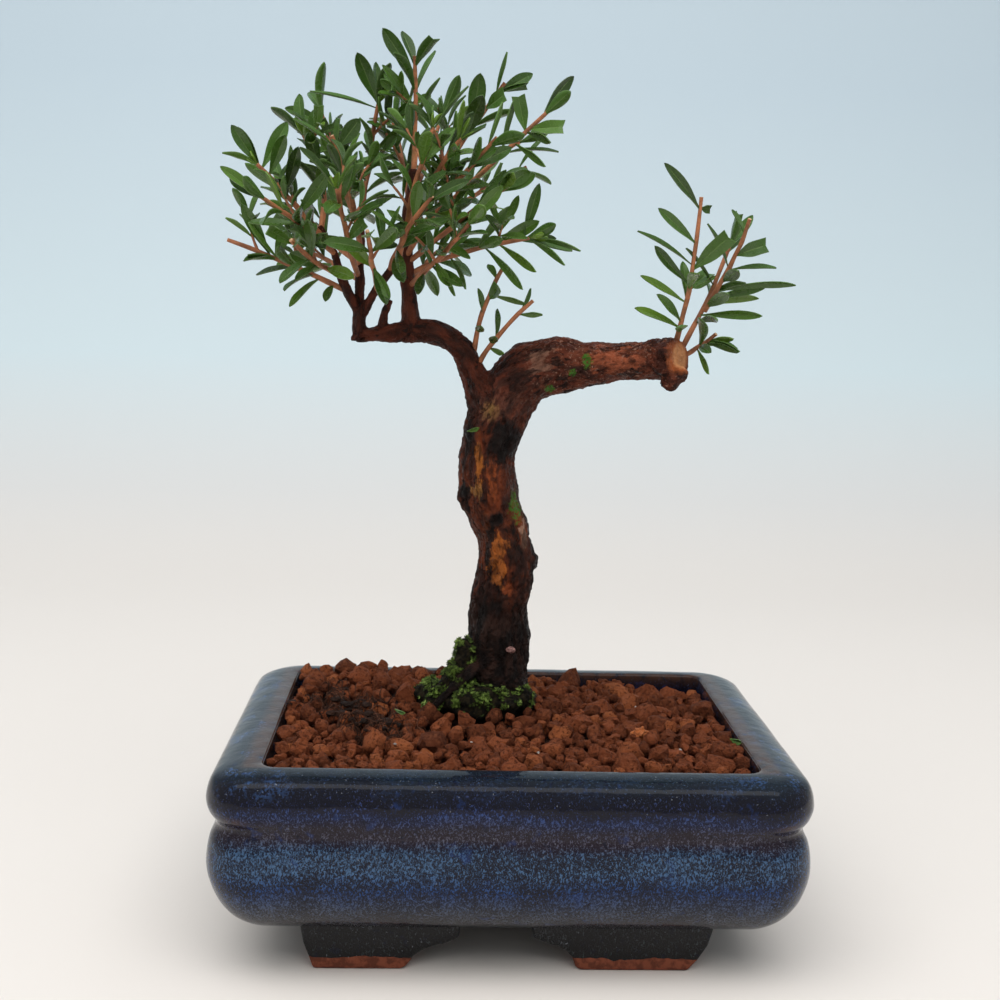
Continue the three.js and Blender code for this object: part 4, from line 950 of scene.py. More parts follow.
def grain_material(settings):
    surface = Surface("baked_clay_grains")
    at = surface.position
    clay = Vector(settings.grain)
    colour = colour_steps(surface.attribute("tone"), [
        (0.0, clay * 0.5), (0.3, clay * 0.85), (0.6, clay), (0.85, clay * 1.3),
        (0.97, tinted(clay, 1.6, 1.75, 1.6))])
    dust = patches(at, 1.6, 0.45, 0.7)
    colour = blend(dust * 0.45, colour, tinted(clay, 1.45, 1.7, 1.9))
    pits = patches(at, 0.9, 0.30, 0.48, 5.0)
    colour = blend((1.0 - pits) * 0.75, colour, clay * 0.22)
    relief = noise_value(at, 1000.0, 5.0, 0.75) + pits * 0.4
    return surface.finish(colour, 0.92, 0.25, relief, 0.0016)


def peat_material():
    surface = Surface("dark_peat")
    at = surface.position
    colour = colour_steps(surface.attribute("tone"), [
        (0.0, (0.010, 0.005, 0.003)), (0.6, (0.034, 0.014, 0.008)), (1.0, (0.15, 0.060, 0.034))])
    colour = blend(patches(at, 1.2) * 0.5, colour, (0.008, 0.004, 0.003))
    return surface.finish(colour, 0.8, 0.25, noise_value(at, 1100.0, 5.0, 0.7), 0.0008)


def bark_material(settings):
    surface = Surface("syzygium_bark")
    at = surface.position
    across, _, height = split(at)
    along = surface.attribute("bark", "Vector")
    bark = Vector(settings.bark)
    colour = blend(patches(along, 3.6, 0.40, 0.64, 6.0), bark * 0.2, bark * 1.5)
    # Reddish bark between the black patches, on the middle of the trunk
    middle = spread(height, 0.078, 0.098) * spread(height, 0.150, 0.136)
    red = blend(patches(along, 4.0, 0.40, 0.68, 6.0), (0.034, 0.008, 0.004), (0.20, 0.040, 0.010))
    colour = blend(middle * patches(along, 7.0, 0.40, 0.54, 6.0), colour, red)
    # The limbs are younger and redder than the trunk, and the right one has pale specks
    limb = blend(patches(along, 3.4, 0.36, 0.66, 6.0), (0.030, 0.008, 0.004),
                 (0.12, 0.026, 0.011))
    right = spread(across, -0.004, 0.012)
    pale = patches(along, 3.2, 0.48, 0.62, 5.0) * right
    limb = blend(pale * 0.6, limb, (0.21, 0.056, 0.026))
    specks = patches(at, 0.75, 0.58, 0.68, 2.0) * right
    limb = blend(specks * 0.55, limb, (0.44, 0.24, 0.17))
    wander = noise_value(at, 150.0, 4.0) - 0.5
    colour = blend(spread(height + wander * 0.012, 0.134, 0.142), colour, limb)
    pits = patches(along, 2.4, 0.43, 0.36, 6.0) * 0.85
    colour = blend(pits, colour, (0.006, 0.003, 0.002))
    # Places where flakes have come off, scars, and a near-black spot over the hole in the trunk
    # that is painted shade. The strongest have the firmest edges
    stray = ragged(along, 2.6, 2.2)
    firm = stray * 0.35
    inner = patches(along, 1.7, 0.34, 0.60, 6.0)
    for centre, reach, strength, tint in BARK_SPOTS:
        place = spot(at, centre, reach, firm if strength > 0.92 else stray)
        shade = blend(inner, Vector(tint) * 0.25, Vector(tint) * 1.25)
        colour = blend(place * strength, colour, shade)
    stray = ragged(at, 1.2, 1.2)
    clumps = patches(at, 0.6, 0.42, 0.5)
    for centre, reach in MOSS_SPOTS:
        green = spot(at, centre, reach, stray) * clumps
        colour = blend(green, colour, (0.060, 0.165, 0.016))
    # Pale end grain of the cut stump, with a darker rim
    from_centre = vector_maths("SUBTRACT", {0: at, 1: STUMP_CENTRE * MM})
    outwards = vector_maths("DOT_PRODUCT", {0: from_centre, 1: STUMP_NORMAL}, "Value")
    uneven = ragged(at, 2.2, 0.3)
    middle_place = STUMP_CENTRE + Vector((0, 0, 0.7))
    end = spread(outwards, -0.0011, -0.0005) * spot(at, middle_place, (6.0, 6.0, 5.2), uneven)
    rings = noise_value(at, 600.0, 5.0, 0.7, 1.5)
    rim = blend(rings, (0.24, 0.045, 0.012), (0.60, 0.18, 0.055))
    cut = blend(rings, (0.50, 0.15, 0.045), (0.84, 0.44, 0.20))
    pale_place = middle_place + Vector((0.8, 0, 0.2))
    cut = blend(spot(at, pale_place, (3.6, 4.6, 4.0), uneven), rim, cut)
    colour = blend(end, colour, cut)
    roughness = spread(noise_value(along, 900.0), 0.3, 0.7, 0.30, 0.72)
    relief = noise_value(along, 800.0, 6.0, 0.75) - pits * 0.4
    return surface.finish(colour, roughness, 0.25, relief, 0.0014)


def tuft_material(settings):
    surface = Surface("moss_tufts")
    moss = Vector(settings.moss)
    colour = colour_steps(surface.attribute("tone"), [
        (0.0, moss * 0.1), (0.45, moss * 0.35), (0.75, moss), (1.0, (0.30, 0.42, 0.10))])
    colour = blend(patches(surface.position, 3.0) * 0.4, colour, moss * 0.35)
    return surface.finish(colour, 0.6)


def leaf_material(name, colour, dark_share, vein, roughness):
    """A blade with a pale midrib and faint side veins, by its own map across and along it."""
    surface = Surface(name)
    at = surface.position
    x, y, _ = split(put(surface.tree, "ShaderNodeUVMap", {"uv_map": "blade"}, output="UV"))
    across = maths("ABSOLUTE", x - 0.5)
    leaf = Vector(colour)
    shade = colour_steps(surface.attribute("tone"), [
        (0.0, leaf * dark_share), (0.55, leaf), (0.9, tinted(leaf, 1.5, 1.35, 1.2)),
        (1.0, tinted(leaf, 2.6, 1.9, 1.2))])
    shade = blend(patches(at, 9.0) * 0.12, shade, tinted(leaf, 0.6, 0.75, 0.9))
    rib = spread(across, 0.015, 0.06, 1.0, 0.0) * spread(y, 1.0, 0.75)
    edge = spread(across, 0.44, 0.5)
    side_veins = spread(maths("SINE", y * 75.0 + across * -38.0), 0.55, 1.0)
    for mask, strength in ((rib, 0.3), (edge, 0.15), (side_veins, 0.05)):
        shade = blend(mask * strength, shade, vein)
    gloss = spread(noise_value(at, 500.0, 2.0), 0.3, 0.7, roughness - 0.06, roughness + 0.08)
    return surface.finish(shade, gloss, 0.45, side_veins * 0.15 - rib, 0.00005)


def twig_material(settings):
    surface = Surface("young_twig")
    at = surface.position
    twig = Vector(settings.twig)
    colour = blend(patches(at, 4.0, 0.35, 0.65), twig * 0.45, twig)
    colour = blend(surface.attribute("tone") * 0.5, colour, twig * 0.35)
    colour = blend(patches(at, 6.0, 0.58, 0.7) * 0.4, colour, (0.16, 0.15, 0.05))
    return surface.finish(colour, 0.6, relief=noise_value(at, 1600.0, 4.0), depth=0.0002)


def stage_material(settings):
    """Warm and pale on the floor, paling to a cool tint up the backdrop."""
    surface = Surface("plain_stage")
    floor = Vector(settings.floor)
    backdrop = Vector(settings.backdrop)
    haze = tinted(floor.lerp(backdrop, 0.6), 1.0, 1.08, 1.09)
    height = split(surface.position)[2]
    colour = colour_steps(height * 2.0, [
        (0.0, floor), (0.06, floor.lerp(backdrop, 0.25)), (0.24, haze), (0.8, backdrop)])
    return surface.finish(colour, 0.8, 0.1)


# Pot


def ring(inset, end_inset):
    """Plan of the pot at one height: a rounded rectangle, inset from the widest plan."""
    radius = max(POT_CORNER_RADIUS - CORNER_SHRINK * inset, SHARPEST_CORNER)
    arcs = []
    for corner in range(4):
        sign_x = 1 if corner in (0, 3) else -1
        sign_y = 1 if corner < 2 else -1
        middle_x = sign_x * (POT_WIDTH / 2 - inset - end_inset - radius)
        middle_y = sign_y * (POT_DEPTH / 2 - inset - radius)
        arc = []
        for step in range(CORNER_STEPS + 1):
            turn = (corner + step / CORNER_STEPS) * math.pi / 2
            arc.append((middle_x + radius * math.cos(turn), middle_y + radius * math.sin(turn)))
        arcs.append(arc)
    points = []
    for corner in range(4):
        points += arcs[corner]
        start = arcs[corner][-1]
        end = arcs[(corner + 1) % 4][0]
        steps = LONG_SIDE_STEPS if corner % 2 == 0 else SHORT_SIDE_STEPS
        for step in range(1, steps):
            t = step / steps
            points.append((between(start[0], end[0], t), between(start[1], end[1], t)))
    return points + [points[0]]


def turned_form(name, profile):
    """A closed form whose upright outline is the profile and whose plan is the ring."""
    rings = [ring(inset, end_inset) for inset, height, end_inset in profile]
    obj = shaped_grid(name, len(rings[0]) - 1, len(profile) - 1,
                      lambda column, row: (*rings[row][column], profile[row][1]))
    close_up(obj)
    return obj


def make_bowl(settings):
    profile = [tuple(row) for row in smooth_path(POT_PROFILE, PROFILE_STEPS)]
    bowl = turned_form("pot_bowl", profile)
    points = coordinates(bowl.data)
    # The groove is shallower along the two long sides
    for point in points:
        height = point[2] / MM
        inset = POT_DEPTH / 2 - abs(point[1]) / MM
        if GROOVE_BOTTOM < height < GROOVE_TOP and inset < 4:
            share = 0.5 * smoothstep(68, 52, abs(point[0]) / MM)
            point[1] = math.copysign((POT_DEPTH / 2 - inset * (1 - share)) * MM, point[1])
    # The walls above the underside were finished by hand
    for point in points:
        place = Vector(point)
        stray = noise.noise(place * 45) + 0.5 * noise.noise(place * 130)
        side = Vector((point[0] / POT_WIDTH, point[1] / POT_DEPTH, 0)).normalized()
        lift = Vector((0, 0, 0.5 * noise.noise(place * 60 + Vector((5, 0, 0)))))
        if point[2] > UNDERSIDE_HEIGHT * MM:
            point[:] = place + (side * stray + lift) * settings.unevenness
    set_coordinates(bowl.data, points)
    for side in (-1, 1):
        drill = added(bpy.ops.mesh.primitive_cylinder_add, "drill", vertices=40,
                      radius=DRAIN_HOLE_RADIUS * MM, depth=DRILL_LENGTH * MM,
                      location=(side * DRAIN_HOLE_PLACE * MM, 0, 0))
        finish_modifier(bowl, "BOOLEAN", operation="DIFFERENCE", solver="EXACT", object=drill)
        drop(drill)
    # The glaze is thin on the inner edge of the rim and on the edges of the groove at its ends
    thin = []
    for x, y, z in np.abs(coordinates(bowl.data)) / MM:
        inset = min(POT_DEPTH / 2 - y, POT_WIDTH / 2 - x)
        lip = smoothstep(8.4, 10.2, inset) * smoothstep(51.5, 53.4, z)
        ends = smoothstep(62, 70, x) * smoothstep(44, 50, y)
        groove = smoothstep(1.4, 0.2, abs(z - GROOVE_EDGE)) * smoothstep(4, 1, inset) * ends
        thin.append(max(lip, groove))
    give_attribute(bowl.data, "thin", thin)
    smooth(bowl, 40)
    return bowl


def make_foot(name, outline, near):
    """A bracket foot: its front outline, drawn back by its depth, with soft edges."""
    obj = added(bpy.ops.mesh.primitive_circle_add, name, vertices=len(outline), radius=1,
                fill_type="NGON")
    for vertex, (x, z) in zip(obj.data.vertices, outline):
        vertex.co = Vector((x, near, z)) * MM
    bpy.ops.object.mode_set(mode="EDIT")
    bpy.ops.mesh.select_all(action="SELECT")
    bpy.ops.mesh.extrude_region_move(TRANSFORM_OT_translate={"value": (0, FOOT_DEPTH * MM, 0)})
    bpy.ops.mesh.select_all(action="SELECT")
    bpy.ops.mesh.normals_make_consistent(inside=False)
    bpy.ops.object.mode_set(mode="OBJECT")
    finish_modifier(obj, "BEVEL", width=FOOT_EDGE * MM, segments=3, limit_method="ANGLE",
                    angle_limit=math.radians(25))
    smooth(obj, 50)
    return obj


class BONSAI_OT_make_pot(bpy.types.Operator):
    """Makes the glazed bowl with its drain holes and its four bracket feet"""

    bl_idname = "bonsai.make_pot"
    bl_label = "Pot"

    def execute(self, context):
        settings = context.scene.bonsai_pot
        parts = [make_bowl(settings)]
        for side, outline in (("left", LEFT_FOOT), ("right", RIGHT_FOOT)):
            for end, near in (("front", -FOOT_FRONT), ("back", FOOT_FRONT - FOOT_DEPTH)):
                parts.append(make_foot(f"foot_{side}_{end}", outline, near))
        pot = joined(parts, "pot_glazed")
        give_materials(pot, glaze_material(settings))
        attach(pot, ROOT_BODY)
        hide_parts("pot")
        plastic = mesh_material()
        for name in ("drain_mesh_left", "drain_mesh_right"):
            give_materials(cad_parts[name], plastic)
        return {"FINISHED"}


# Soil


def soil_height(x, y):
    """Height of the soil under its top grains, heaped at the left back and round the trunk."""
    height = SOIL_LEVEL
    for middle_x, middle_y, width_x, width_y, rise in SOIL_HEAPS:
        height += rise * math.exp(
            -((x - middle_x) / width_x) ** 2 - ((y - middle_y) / width_y) ** 2)
    return height


def from_trunk(x, y):
    return math.hypot(x - TRUNK_FOOT[0], y - TRUNK_FOOT[1])


def make_bed():
    """The bed under the loose grains, with its top drawn in from the wall in rings."""
    rings = [(ring(inset, extra), height) for inset, height, extra in BED_PROFILE]
    edge = ring(*BED_EDGE)
    for share in BED_RINGS:
        rings.append(([(x * share, y * share) for x, y in edge], None))

    def place(column, row):
        outline, height = rings[row]
        x, y = outline[column]
        return (x, y, soil_height(x, y) - BED_DEPTH if height is None else height)

    bed = shaped_grid("soil_bed", len(edge) - 1, len(rings) - 1, place)
    close_up(bed)
    smooth(bed, 45)
    return bed


def grain_models(count, draw):
    """A few rough, angular lumps of about one millimetre radius."""
    models = []
    for number in range(count):
        model = added(bpy.ops.mesh.primitive_ico_sphere_add, "grain_model", subdivisions=2,
                      radius=1)
        facets = []
        for _ in range(FACETS):
            direction = Vector([draw.gauss(0, 1) for _ in range(3)]).normalized()
            facets.append((direction, draw.uniform(0.62, 0.86)))
        stretch = Vector([draw.uniform(low, high) for low, high in GRAIN_STRETCH])
        for vertex in model.data.vertices:
            place = vertex.co.copy()
            for direction, limit in facets:
                past = place.dot(direction) - limit
                if past > 0:
                    place -= direction * past * 0.92
            rough = noise.noise(vertex.co * 2.3 + Vector((number * 7, 0, 0)))
            crumb = noise.noise(vertex.co * 5.5 + Vector((0, number * 5, 0)))
            place *= 1.08 + 0.42 * rough + 0.34 * crumb
            vertex.co = place * stretch
        smooth(model, 50)
        models.append(model)
    return models


def inside_opening(x, y, margin):
    over_x = abs(x) - (OPENING_X - margin - OPENING_CORNER)
    over_y = abs(y) - (OPENING_Y - margin - OPENING_CORNER)
    if over_x > 0 and over_y > 0:
        return math.hypot(over_x, over_y) < OPENING_CORNER
    return over_x < OPENING_CORNER and over_y < OPENING_CORNER


class HeightMap:
    """Heights over the pot's opening, on which grains come to rest."""

    def __init__(self):
        self.columns = int(2 * MAP_REACH_X / MAP_CELL)
        self.rows = int(2 * MAP_REACH_Y / MAP_CELL)
        self.heights = np.zeros((self.columns, self.rows))
        for i in range(self.columns):
            for j in range(self.rows):
                x = i * MAP_CELL - MAP_REACH_X
                y = j * MAP_CELL - MAP_REACH_Y
                self.heights[i, j] = soil_height(x, y) - LOWEST_GRAIN_DEPTH

    def window(self, x, y, radius):
        """The cells under a grain, which of them it covers, and its own height over each."""
        middle_i = int((x + MAP_REACH_X) / MAP_CELL)
        middle_j = int((y + MAP_REACH_Y) / MAP_CELL)
        reach = int(radius / MAP_CELL) + 1
        low_i, high_i = max(middle_i - reach, 0), min(middle_i + reach + 1, self.columns)
        low_j, high_j = max(middle_j - reach, 0), min(middle_j + reach + 1, self.rows)
        across = np.arange(low_i, high_i) * MAP_CELL - MAP_REACH_X - x
        deep = np.arange(low_j, high_j) * MAP_CELL - MAP_REACH_Y - y
        square = radius ** 2 - across[:, None] ** 2 - deep[None, :] ** 2
        dome = np.sqrt(np.maximum(square, 0))
        return (slice(low_i, high_i), slice(low_j, high_j)), square > 0, dome

    def rest(self, x, y, radius):
        place, under, dome = self.window(x, y, radius)
        heights = self.heights[place] + dome * UNDER_SHARE
        return float(np.max(np.where(under, heights, -1e9)))

    def settle(self, x, y, z, radius):
        place, under, dome = self.window(x, y, radius)
        raised = np.where(under, z + dome * TOP_SHARE, -1e9)
        self.heights[place] = np.maximum(self.heights[place], raised)


def blocked(x, y, z, radius):
    """True where a grain would lie in the moss or in the foot of the trunk."""
    for (cx, cy, cz), (rx, ry, rz) in MOSS_CUSHIONS:
        away = ((x - cx) / (rx + MOSS_CLEARANCE)) ** 2 + ((y - cy) / (ry + MOSS_CLEARANCE)) ** 2
        if away < 1 and z < cz + rz:
            return True
    return from_trunk(x, y) < TRUNK_CLEARANCE + radius


def make_grains(settings):
    draw = random.Random(11)
    models = grain_models(GRAIN_MODELS, draw)
    heights = HeightMap()
    copies = []
    tries = 0
    while len(copies) < settings.grain_count and tries < 6 * settings.grain_count:
        tries += 1
        radius = between(settings.smallest / MM, settings.largest / MM, draw.random() ** 1.5)
        # The lowest of a few places is taken
        best = None
        for _ in range(PLACES_TRIED):
            x = draw.uniform(-OPENING_X, OPENING_X)
            y = draw.uniform(-OPENING_Y, OPENING_Y)
            if not inside_opening(x, y, radius * 0.9):
                continue
            z = heights.rest(x, y, radius)
            rise = z - soil_height(x, y)
            if best is None or rise < best[3]:
                best = (x, y, z, rise)
        if best is None or best[3] > HIGHEST_GRAIN:
            continue
        x, y, z, _ = best
        if blocked(x, y, z, radius):
            continue
        heights.settle(x, y, z, radius)
        model = draw.choice(models)
        turn = (Matrix.Rotation(draw.uniform(0, 6.3), 3, "X")
                @ Matrix.Rotation(draw.uniform(0, 6.3), 3, "Z"))
        points = coordinates(model.data) @ np.array(turn).T * radius + np.array([x, y, z])
        copies.append(copy_of(model, "grain", points, draw.random()))
    for model in models:
        drop(model)
    return joined(copies, "soil_grains")


class BONSAI_OT_make_soil(bpy.types.Operator):
    """Makes the bed of soil and the loose baked clay grains that lie on it"""

    bl_idname = "bonsai.make_soil"
    bl_label = "Soil"

    def execute(self, context):
        settings = context.scene.bonsai_soil
        bed = make_bed()
        give_materials(bed, mottled_material(
            "damp_soil", 1.5, (0.012, 0.005, 0.003), (0.05, 0.018, 0.010), 0.95,
            relief=(600.0, 0.7, 0.0008)))
        grains = make_grains(settings)
        give_materials(grains, grain_material(settings))
        for piece in (bed, grains):
            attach(piece, ROOT_BODY)
            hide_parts("soil")
        return {"FINISHED"}


# Wood


def square_to(tangent, start):
    return (start - tangent * start.dot(tangent)).normalized()


def stem_frames(points, steps):
    """Places, directions and sides along a stem, with its length to each."""
    path = [Vector(point) for point in smooth_path(points, steps)]
    frames = []
    length = 0.0
    for i, place in enumerate(path):
        tangent = (path[min(i + 1, len(path) - 1)] - path[max(i - 1, 0)]).normalized()
        side = square_to(tangent, Vector((0, 1, 0)))
        frames.append((place, tangent, side, tangent.cross(side), length))
        if i + 1 < len(path):
            length += (path[i + 1] - place).length
    return frames


def make_tube(name, points, radii, sides, steps, ridges=0.0):
    """A closed stem round a smooth line, with its radius changing on the way."""
    frames = stem_frames(points, steps)
    rows = len(frames) - 1

    def place(column, row):
        at, tangent, side, up, length = frames[row]
        turn = 2 * math.pi * column / sides
        run = row / rows * len(points)
        ridge = math.sin(2 * turn + 0.9 * run) + 0.6 * math.sin(3 * turn - 1.7 * run)
        reach = value_along(radii, row / rows) * (1 + ridges * ridge)
        return at + (side * math.cos(turn) + up * math.sin(turn)) * reach

    obj = shaped_grid(name, sides, rows, place)
    close_up(obj)
    return obj


def make_lump(name, centre, radii, rough, seed):
    """A rounded lump in millimetres, uneven by a share of its radius."""
    lump = added(bpy.ops.mesh.primitive_ico_sphere_add, name, subdivisions=4, radius=1)
    for vertex in lump.data.vertices:
        swell = 1 + rough * noise.noise(vertex.co * 1.6 + Vector((seed * 3.7, 0, 0)))
        vertex.co = (Vector(centre) + Vector(
            [vertex.co[i] * radii[i] * swell for i in range(3)])) * MM
    return lump


def bark_places(points):
    """For each point: place square to the nearest stem, and length along that stem."""
    samples = []
    for number, (route, radii, _) in enumerate(STEMS):
        frames = stem_frames(route, 6)
        for i, (at, tangent, side, up, length) in enumerate(frames):
            radius = value_along(radii, i / (len(frames) - 1))
            samples.append((at, tangent, side, up, length + STEM_OFFSET * number, radius))
    tree = KDTree(len(samples))
    for i, sample in enumerate(samples):
        tree.insert(sample[0], i)
    tree.balance()
    result = []
    for point in points:
        place = Vector(point) / MM
        near = min(tree.find_n(place, 6), key=lambda hit: hit[2] / samples[hit[1]][5])
        at, tangent, side, up, length, _ = samples[near[1]]
        away = place - at
        result.append((away.dot(side), away.dot(up), (length + away.dot(tangent)) * 0.5))
    return np.array(result) * MM


def bark_relief(place, along):
    """Height of the bark's ridges, flakes and knobs at a place, as a share of its depth."""
    on_cut = (place - STUMP_CENTRE).dot(STUMP_NORMAL) > -0.8 and place.x > 35
    on_limb = place.z > 160
    on_root = abs(place.x - TRUNK_FOOT[0]) > 16 and place.z < 70
    ridges = noise.noise(along * 0.42) + 0.6 * noise.noise(along * 1.1)
    flakes = abs(noise.noise(along * 0.75 + Vector((9, 3, 1))))
    fine = 0.35 * noise.noise(along * 2.6)
    knobs = 1.6 * noise.noise(place * 0.13 + Vector((2, 7, 4)))
    relief = ridges * 0.8 - 0.9 * smoothstep(0.10, 0.0, flakes) + fine + knobs
    return relief * (0.25 if on_cut else 1.0) * (0.45 if on_limb or on_root else 1.0)


def knot_height(place):
    """Height of the knots' lips, less the depth of their hollows, in millimetres."""
    raised = 0.0
    for centre, radius, rim, hollow in KNOTS:
        away = (place - Vector(centre)).length / radius
        if away < 2:
            raised += rim * math.exp(-((away - 0.8) / 0.3) ** 2)
            raised -= hollow * math.exp(-(away / 0.55) ** 2)
    return raised


class BONSAI_OT_make_wood(bpy.types.Operator):
    """Makes the trunk, limbs, cut stump and roots as one piece of wood with its bark"""

    bl_idname = "bonsai.make_wood"
    bl_label = "Wood"

    def execute(self, context):
        settings = context.scene.bonsai_wood
        parts = []
        for number, (points, radii, ridges) in enumerate(STEMS):
            sides = 40 if radii[0] > 5 else 20
            parts.append(make_tube(f"stem_{number}", points, radii, sides, 5, ridges))
        for number, (centre, radii) in enumerate(SWELLINGS):
            parts.append(make_lump(f"swelling_{number}", centre, radii, 0.25, number))
        wood = joined(parts, "trunk_bark")
        finish_modifier(wood, "REMESH", mode="VOXEL", voxel_size=settings.face_size)
        points = coordinates(wood.data)
        normals = vertex_values(wood.data, "normal")
        places = bark_places(points)
        for point, normal, along in zip(points, normals, places):
            place = Vector(point) / MM
            relief = bark_relief(place, Vector(along) / MM)
            point += normal * (relief * settings.relief + knot_height(place) * MM)
        set_coordinates(wood.data, points)
        give_attribute(wood.data, "bark", places, "FLOAT_VECTOR")
        smooth(wood)
        give_materials(wood, bark_material(settings))
        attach(wood, ROOT_BODY)
        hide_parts("trunk")
        return {"FINISHED"}


# Moss


def tuft_model():
    """A small star of pointed leaflets round a raised middle, closed underneath."""
    model = added(bpy.ops.mesh.primitive_cone_add, "tuft_model", vertices=12, radius1=1,
                  radius2=0, depth=0.6)
    for vertex in model.data.vertices:
        if vertex.co.z > 0:
            vertex.co = Vector((0, 0, 0.25))
            continue
        column = round(math.atan2(vertex.co.y, vertex.co.x) / (math.pi / 6))
        if column % 2:
            vertex.co = Vector((vertex.co.x * 0.34, vertex.co.y * 0.34, -0.1))
        else:
            vertex.co.z = 0.55
    return model


def make_cushions():
    """The mossy mound that the tufts grow on. Gives its points and normals too."""
    lumps = [make_lump(f"cushion_{i}", centre, radii, 0.3, 5 + i)
             for i, (centre, radii) in enumerate(MOSS_CUSHIONS)]
    cushions = joined(lumps, "moss_cushions")
    finish_modifier(cushions, "REMESH", mode="VOXEL", voxel_size=CUSHION_FACE_SIZE * MM)
    points = coordinates(cushions.data)
    normals = vertex_values(cushions.data, "normal")
    for point, normal in zip(points, normals):
        place = Vector(point) / MM
        rough = noise.noise(place * 0.45) + 0.8 * noise.noise(place * 1.3)
        point += normal * rough * (CUSHION_RELIEF * MM)
    set_coordinates(cushions.data, points)
    smooth(cushions)
    return cushions, points, normals


def make_tufts(settings, points, normals):
    """Tufts on the cushions, thick in some places and thin in others."""
    draw = random.Random(23)
    model = tuft_model()
    unit = coordinates(model.data)
    spots = []
    for point, normal in zip(points, normals):
        place = Vector(point) / MM
        above = place.z > soil_height(place.x, place.y) - 0.5 and normal[2] > -0.1
        if above and from_trunk(place.x, place.y) > TRUNK_RADIUS:
            spots.append((place, Vector(normal)))
    copies = []
    while len(copies) < settings.tuft_count:
        place, normal = draw.choice(spots)
        thick = noise.noise(place * 0.42 + Vector((4, 0, 0)))
        if thick < draw.uniform(-0.08, 0.26):
            continue
        size = draw.uniform(0.38, 0.75)
        lean = (normal + Vector((draw.gauss(0, 0.4), draw.gauss(0, 0.4), 0.5))).normalized()
        spin = Matrix.Rotation(draw.uniform(0, 6.3), 3, "Z")
        turn = lean.to_track_quat("Z", "Y").to_matrix() @ spin
        centre = place + normal * draw.uniform(0.0, 0.7)
        placed = unit @ np.array(turn).T * size + np.array(centre)
        tone = clamped(0.42 + thick * 0.7 + draw.gauss(0, 0.24), 0, 1)
        copies.append(copy_of(model, "tuft", placed, tone))
    drop(model)
    return joined(copies, "moss_tufts")


class BONSAI_OT_make_moss(bpy.types.Operator):
    """Makes the mossy mound at the foot of the trunk, with its many small tufts"""

    bl_idname = "bonsai.make_moss"
    bl_label = "Moss"

    def execute(self, context):
        settings = context.scene.bonsai_moss
        cushions, points, normals = make_cushions()
        give_materials(cushions, mottled_material(
            "dark_moss_bed", 1.4, (0.004, 0.003, 0.002), (0.024, 0.018, 0.008), 0.7, 0.2,
            (900.0, 0.8, 0.0016)))
        tufts = make_tufts(settings, points, normals)
        give_materials(tufts, tuft_material(settings))
        for piece in (cushions, tufts):
            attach(piece, ROOT_BODY)
            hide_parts("moss")
        return {"FINISHED"}


# Twigs and leaves


def draw_share(a, b, c):
    """Repeatable draw between 0 and 1 for a whole number on each of three counts."""
    wave = math.sin(a * 12.9898 + b * 78.233 + c * 37.719) * 43758.5453
    return wave - math.floor(wave)


def turned(vector, axis, degrees):
    return Matrix.Rotation(math.radians(degrees), 3, axis) @ vector


def shoot_point(shoot, t):
    base, bend, tip = (Vector(place) for place in shoot[1:4])
    return base * (1 - t) ** 2 + bend * (2 * t * (1 - t)) + tip * t * t


def shoot_tangent(shoot, t):
    base, bend, tip = (Vector(place) for place in shoot[1:4])
    return ((bend - base) * (1 - t) + (tip - bend) * t).normalized()


def outward_at(tangent, degrees):
    """The direction square to a shoot in which its first leaf grows, turned about it."""
    return turned(square_to(tangent, FIRST_LEAF), tangent, degrees)


def leaf_to_tip(shoot, t, tip, width, roll, trimmed=False):
    """A leaf whose tip is given. Its blade faces the viewer, then rolls about its own length."""
    root = shoot_point(shoot, t)
    along = Vector(tip) - root
    length = PLACED_LENGTH_SHARE * along.length
    along.normalize()
    across = turned(Vector((0, 1, 0)).cross(along).normalized(), along, roll)
    return {"root": root, "along": along, "across": across, "length": length,
            "width": PLACED_WIDTH_SHARE * width, "curl": OUTLINE_CURL, "trimmed": trimmed,
            "tangent": shoot_tangent(shoot, t)}


def paired_leaf(shoot, order, pair, side):
    """One leaf of a pair. Each pair stands at a right angle to the one before it."""
    pairs, start, until = shoot[4:7]

    def chance(count):
        return draw_share(order + 1, 2 * pair + side + 1, count)

    share = pair / (pairs - 1) if pairs > 1 else 0
    t = between(start, until, share)
    tangent = shoot_tangent(shoot, t)
    turn = PAIR_TURN * pair + 180 * side + TURN_RANGE * (chance(1) - 0.5)
    outward = turned(outward_at(tangent, SHOOT_TURN * order), tangent, turn)
    middle = between(FIRST_SPREAD, LAST_SPREAD, share)
    angle = math.radians(middle + SPREAD_RANGE * (chance(2) - 0.5))
    along = (tangent * math.cos(angle) + outward * math.sin(angle)).normalized()
    across = outward.cross(tangent).normalized()
    across = turned(across, along, ROLL_RANGE * (chance(3) - 0.5))
    trimmed = chance(7) < TRIMMED_SHARE
    kept = TRIMMED_LENGTH if trimmed else 1
    return {"root": shoot_point(shoot, t), "along": along, "across": across,
            "length": kept * BLADE_LENGTH * between(0.78, 1.18, chance(4)),
            "width": PAIRED_WIDTH_SHARE * BLADE_WIDTH * between(0.82, 1.18, chance(5)),
            "curl": CURL_RANGE * (chance(6) - 0.35), "trimmed": trimmed, "tangent": tangent}


def swung(leaf, turn, lift):
    along = turned(leaf["along"], leaf["tangent"], turn)
    across = turned(leaf["across"], leaf["tangent"], turn)
    return {**leaf, "along": turned(along, across, lift), "across": across}


def rib_point(leaf, t):
    face = leaf["across"].cross(leaf["along"])
    bend = leaf["curl"] * t
    forward = leaf["length"] * math.sin(bend) / leaf["curl"]
    rise = leaf["length"] * (1 - math.cos(bend)) / leaf["curl"]
    return leaf["root"] + leaf["along"] * forward + face * rise


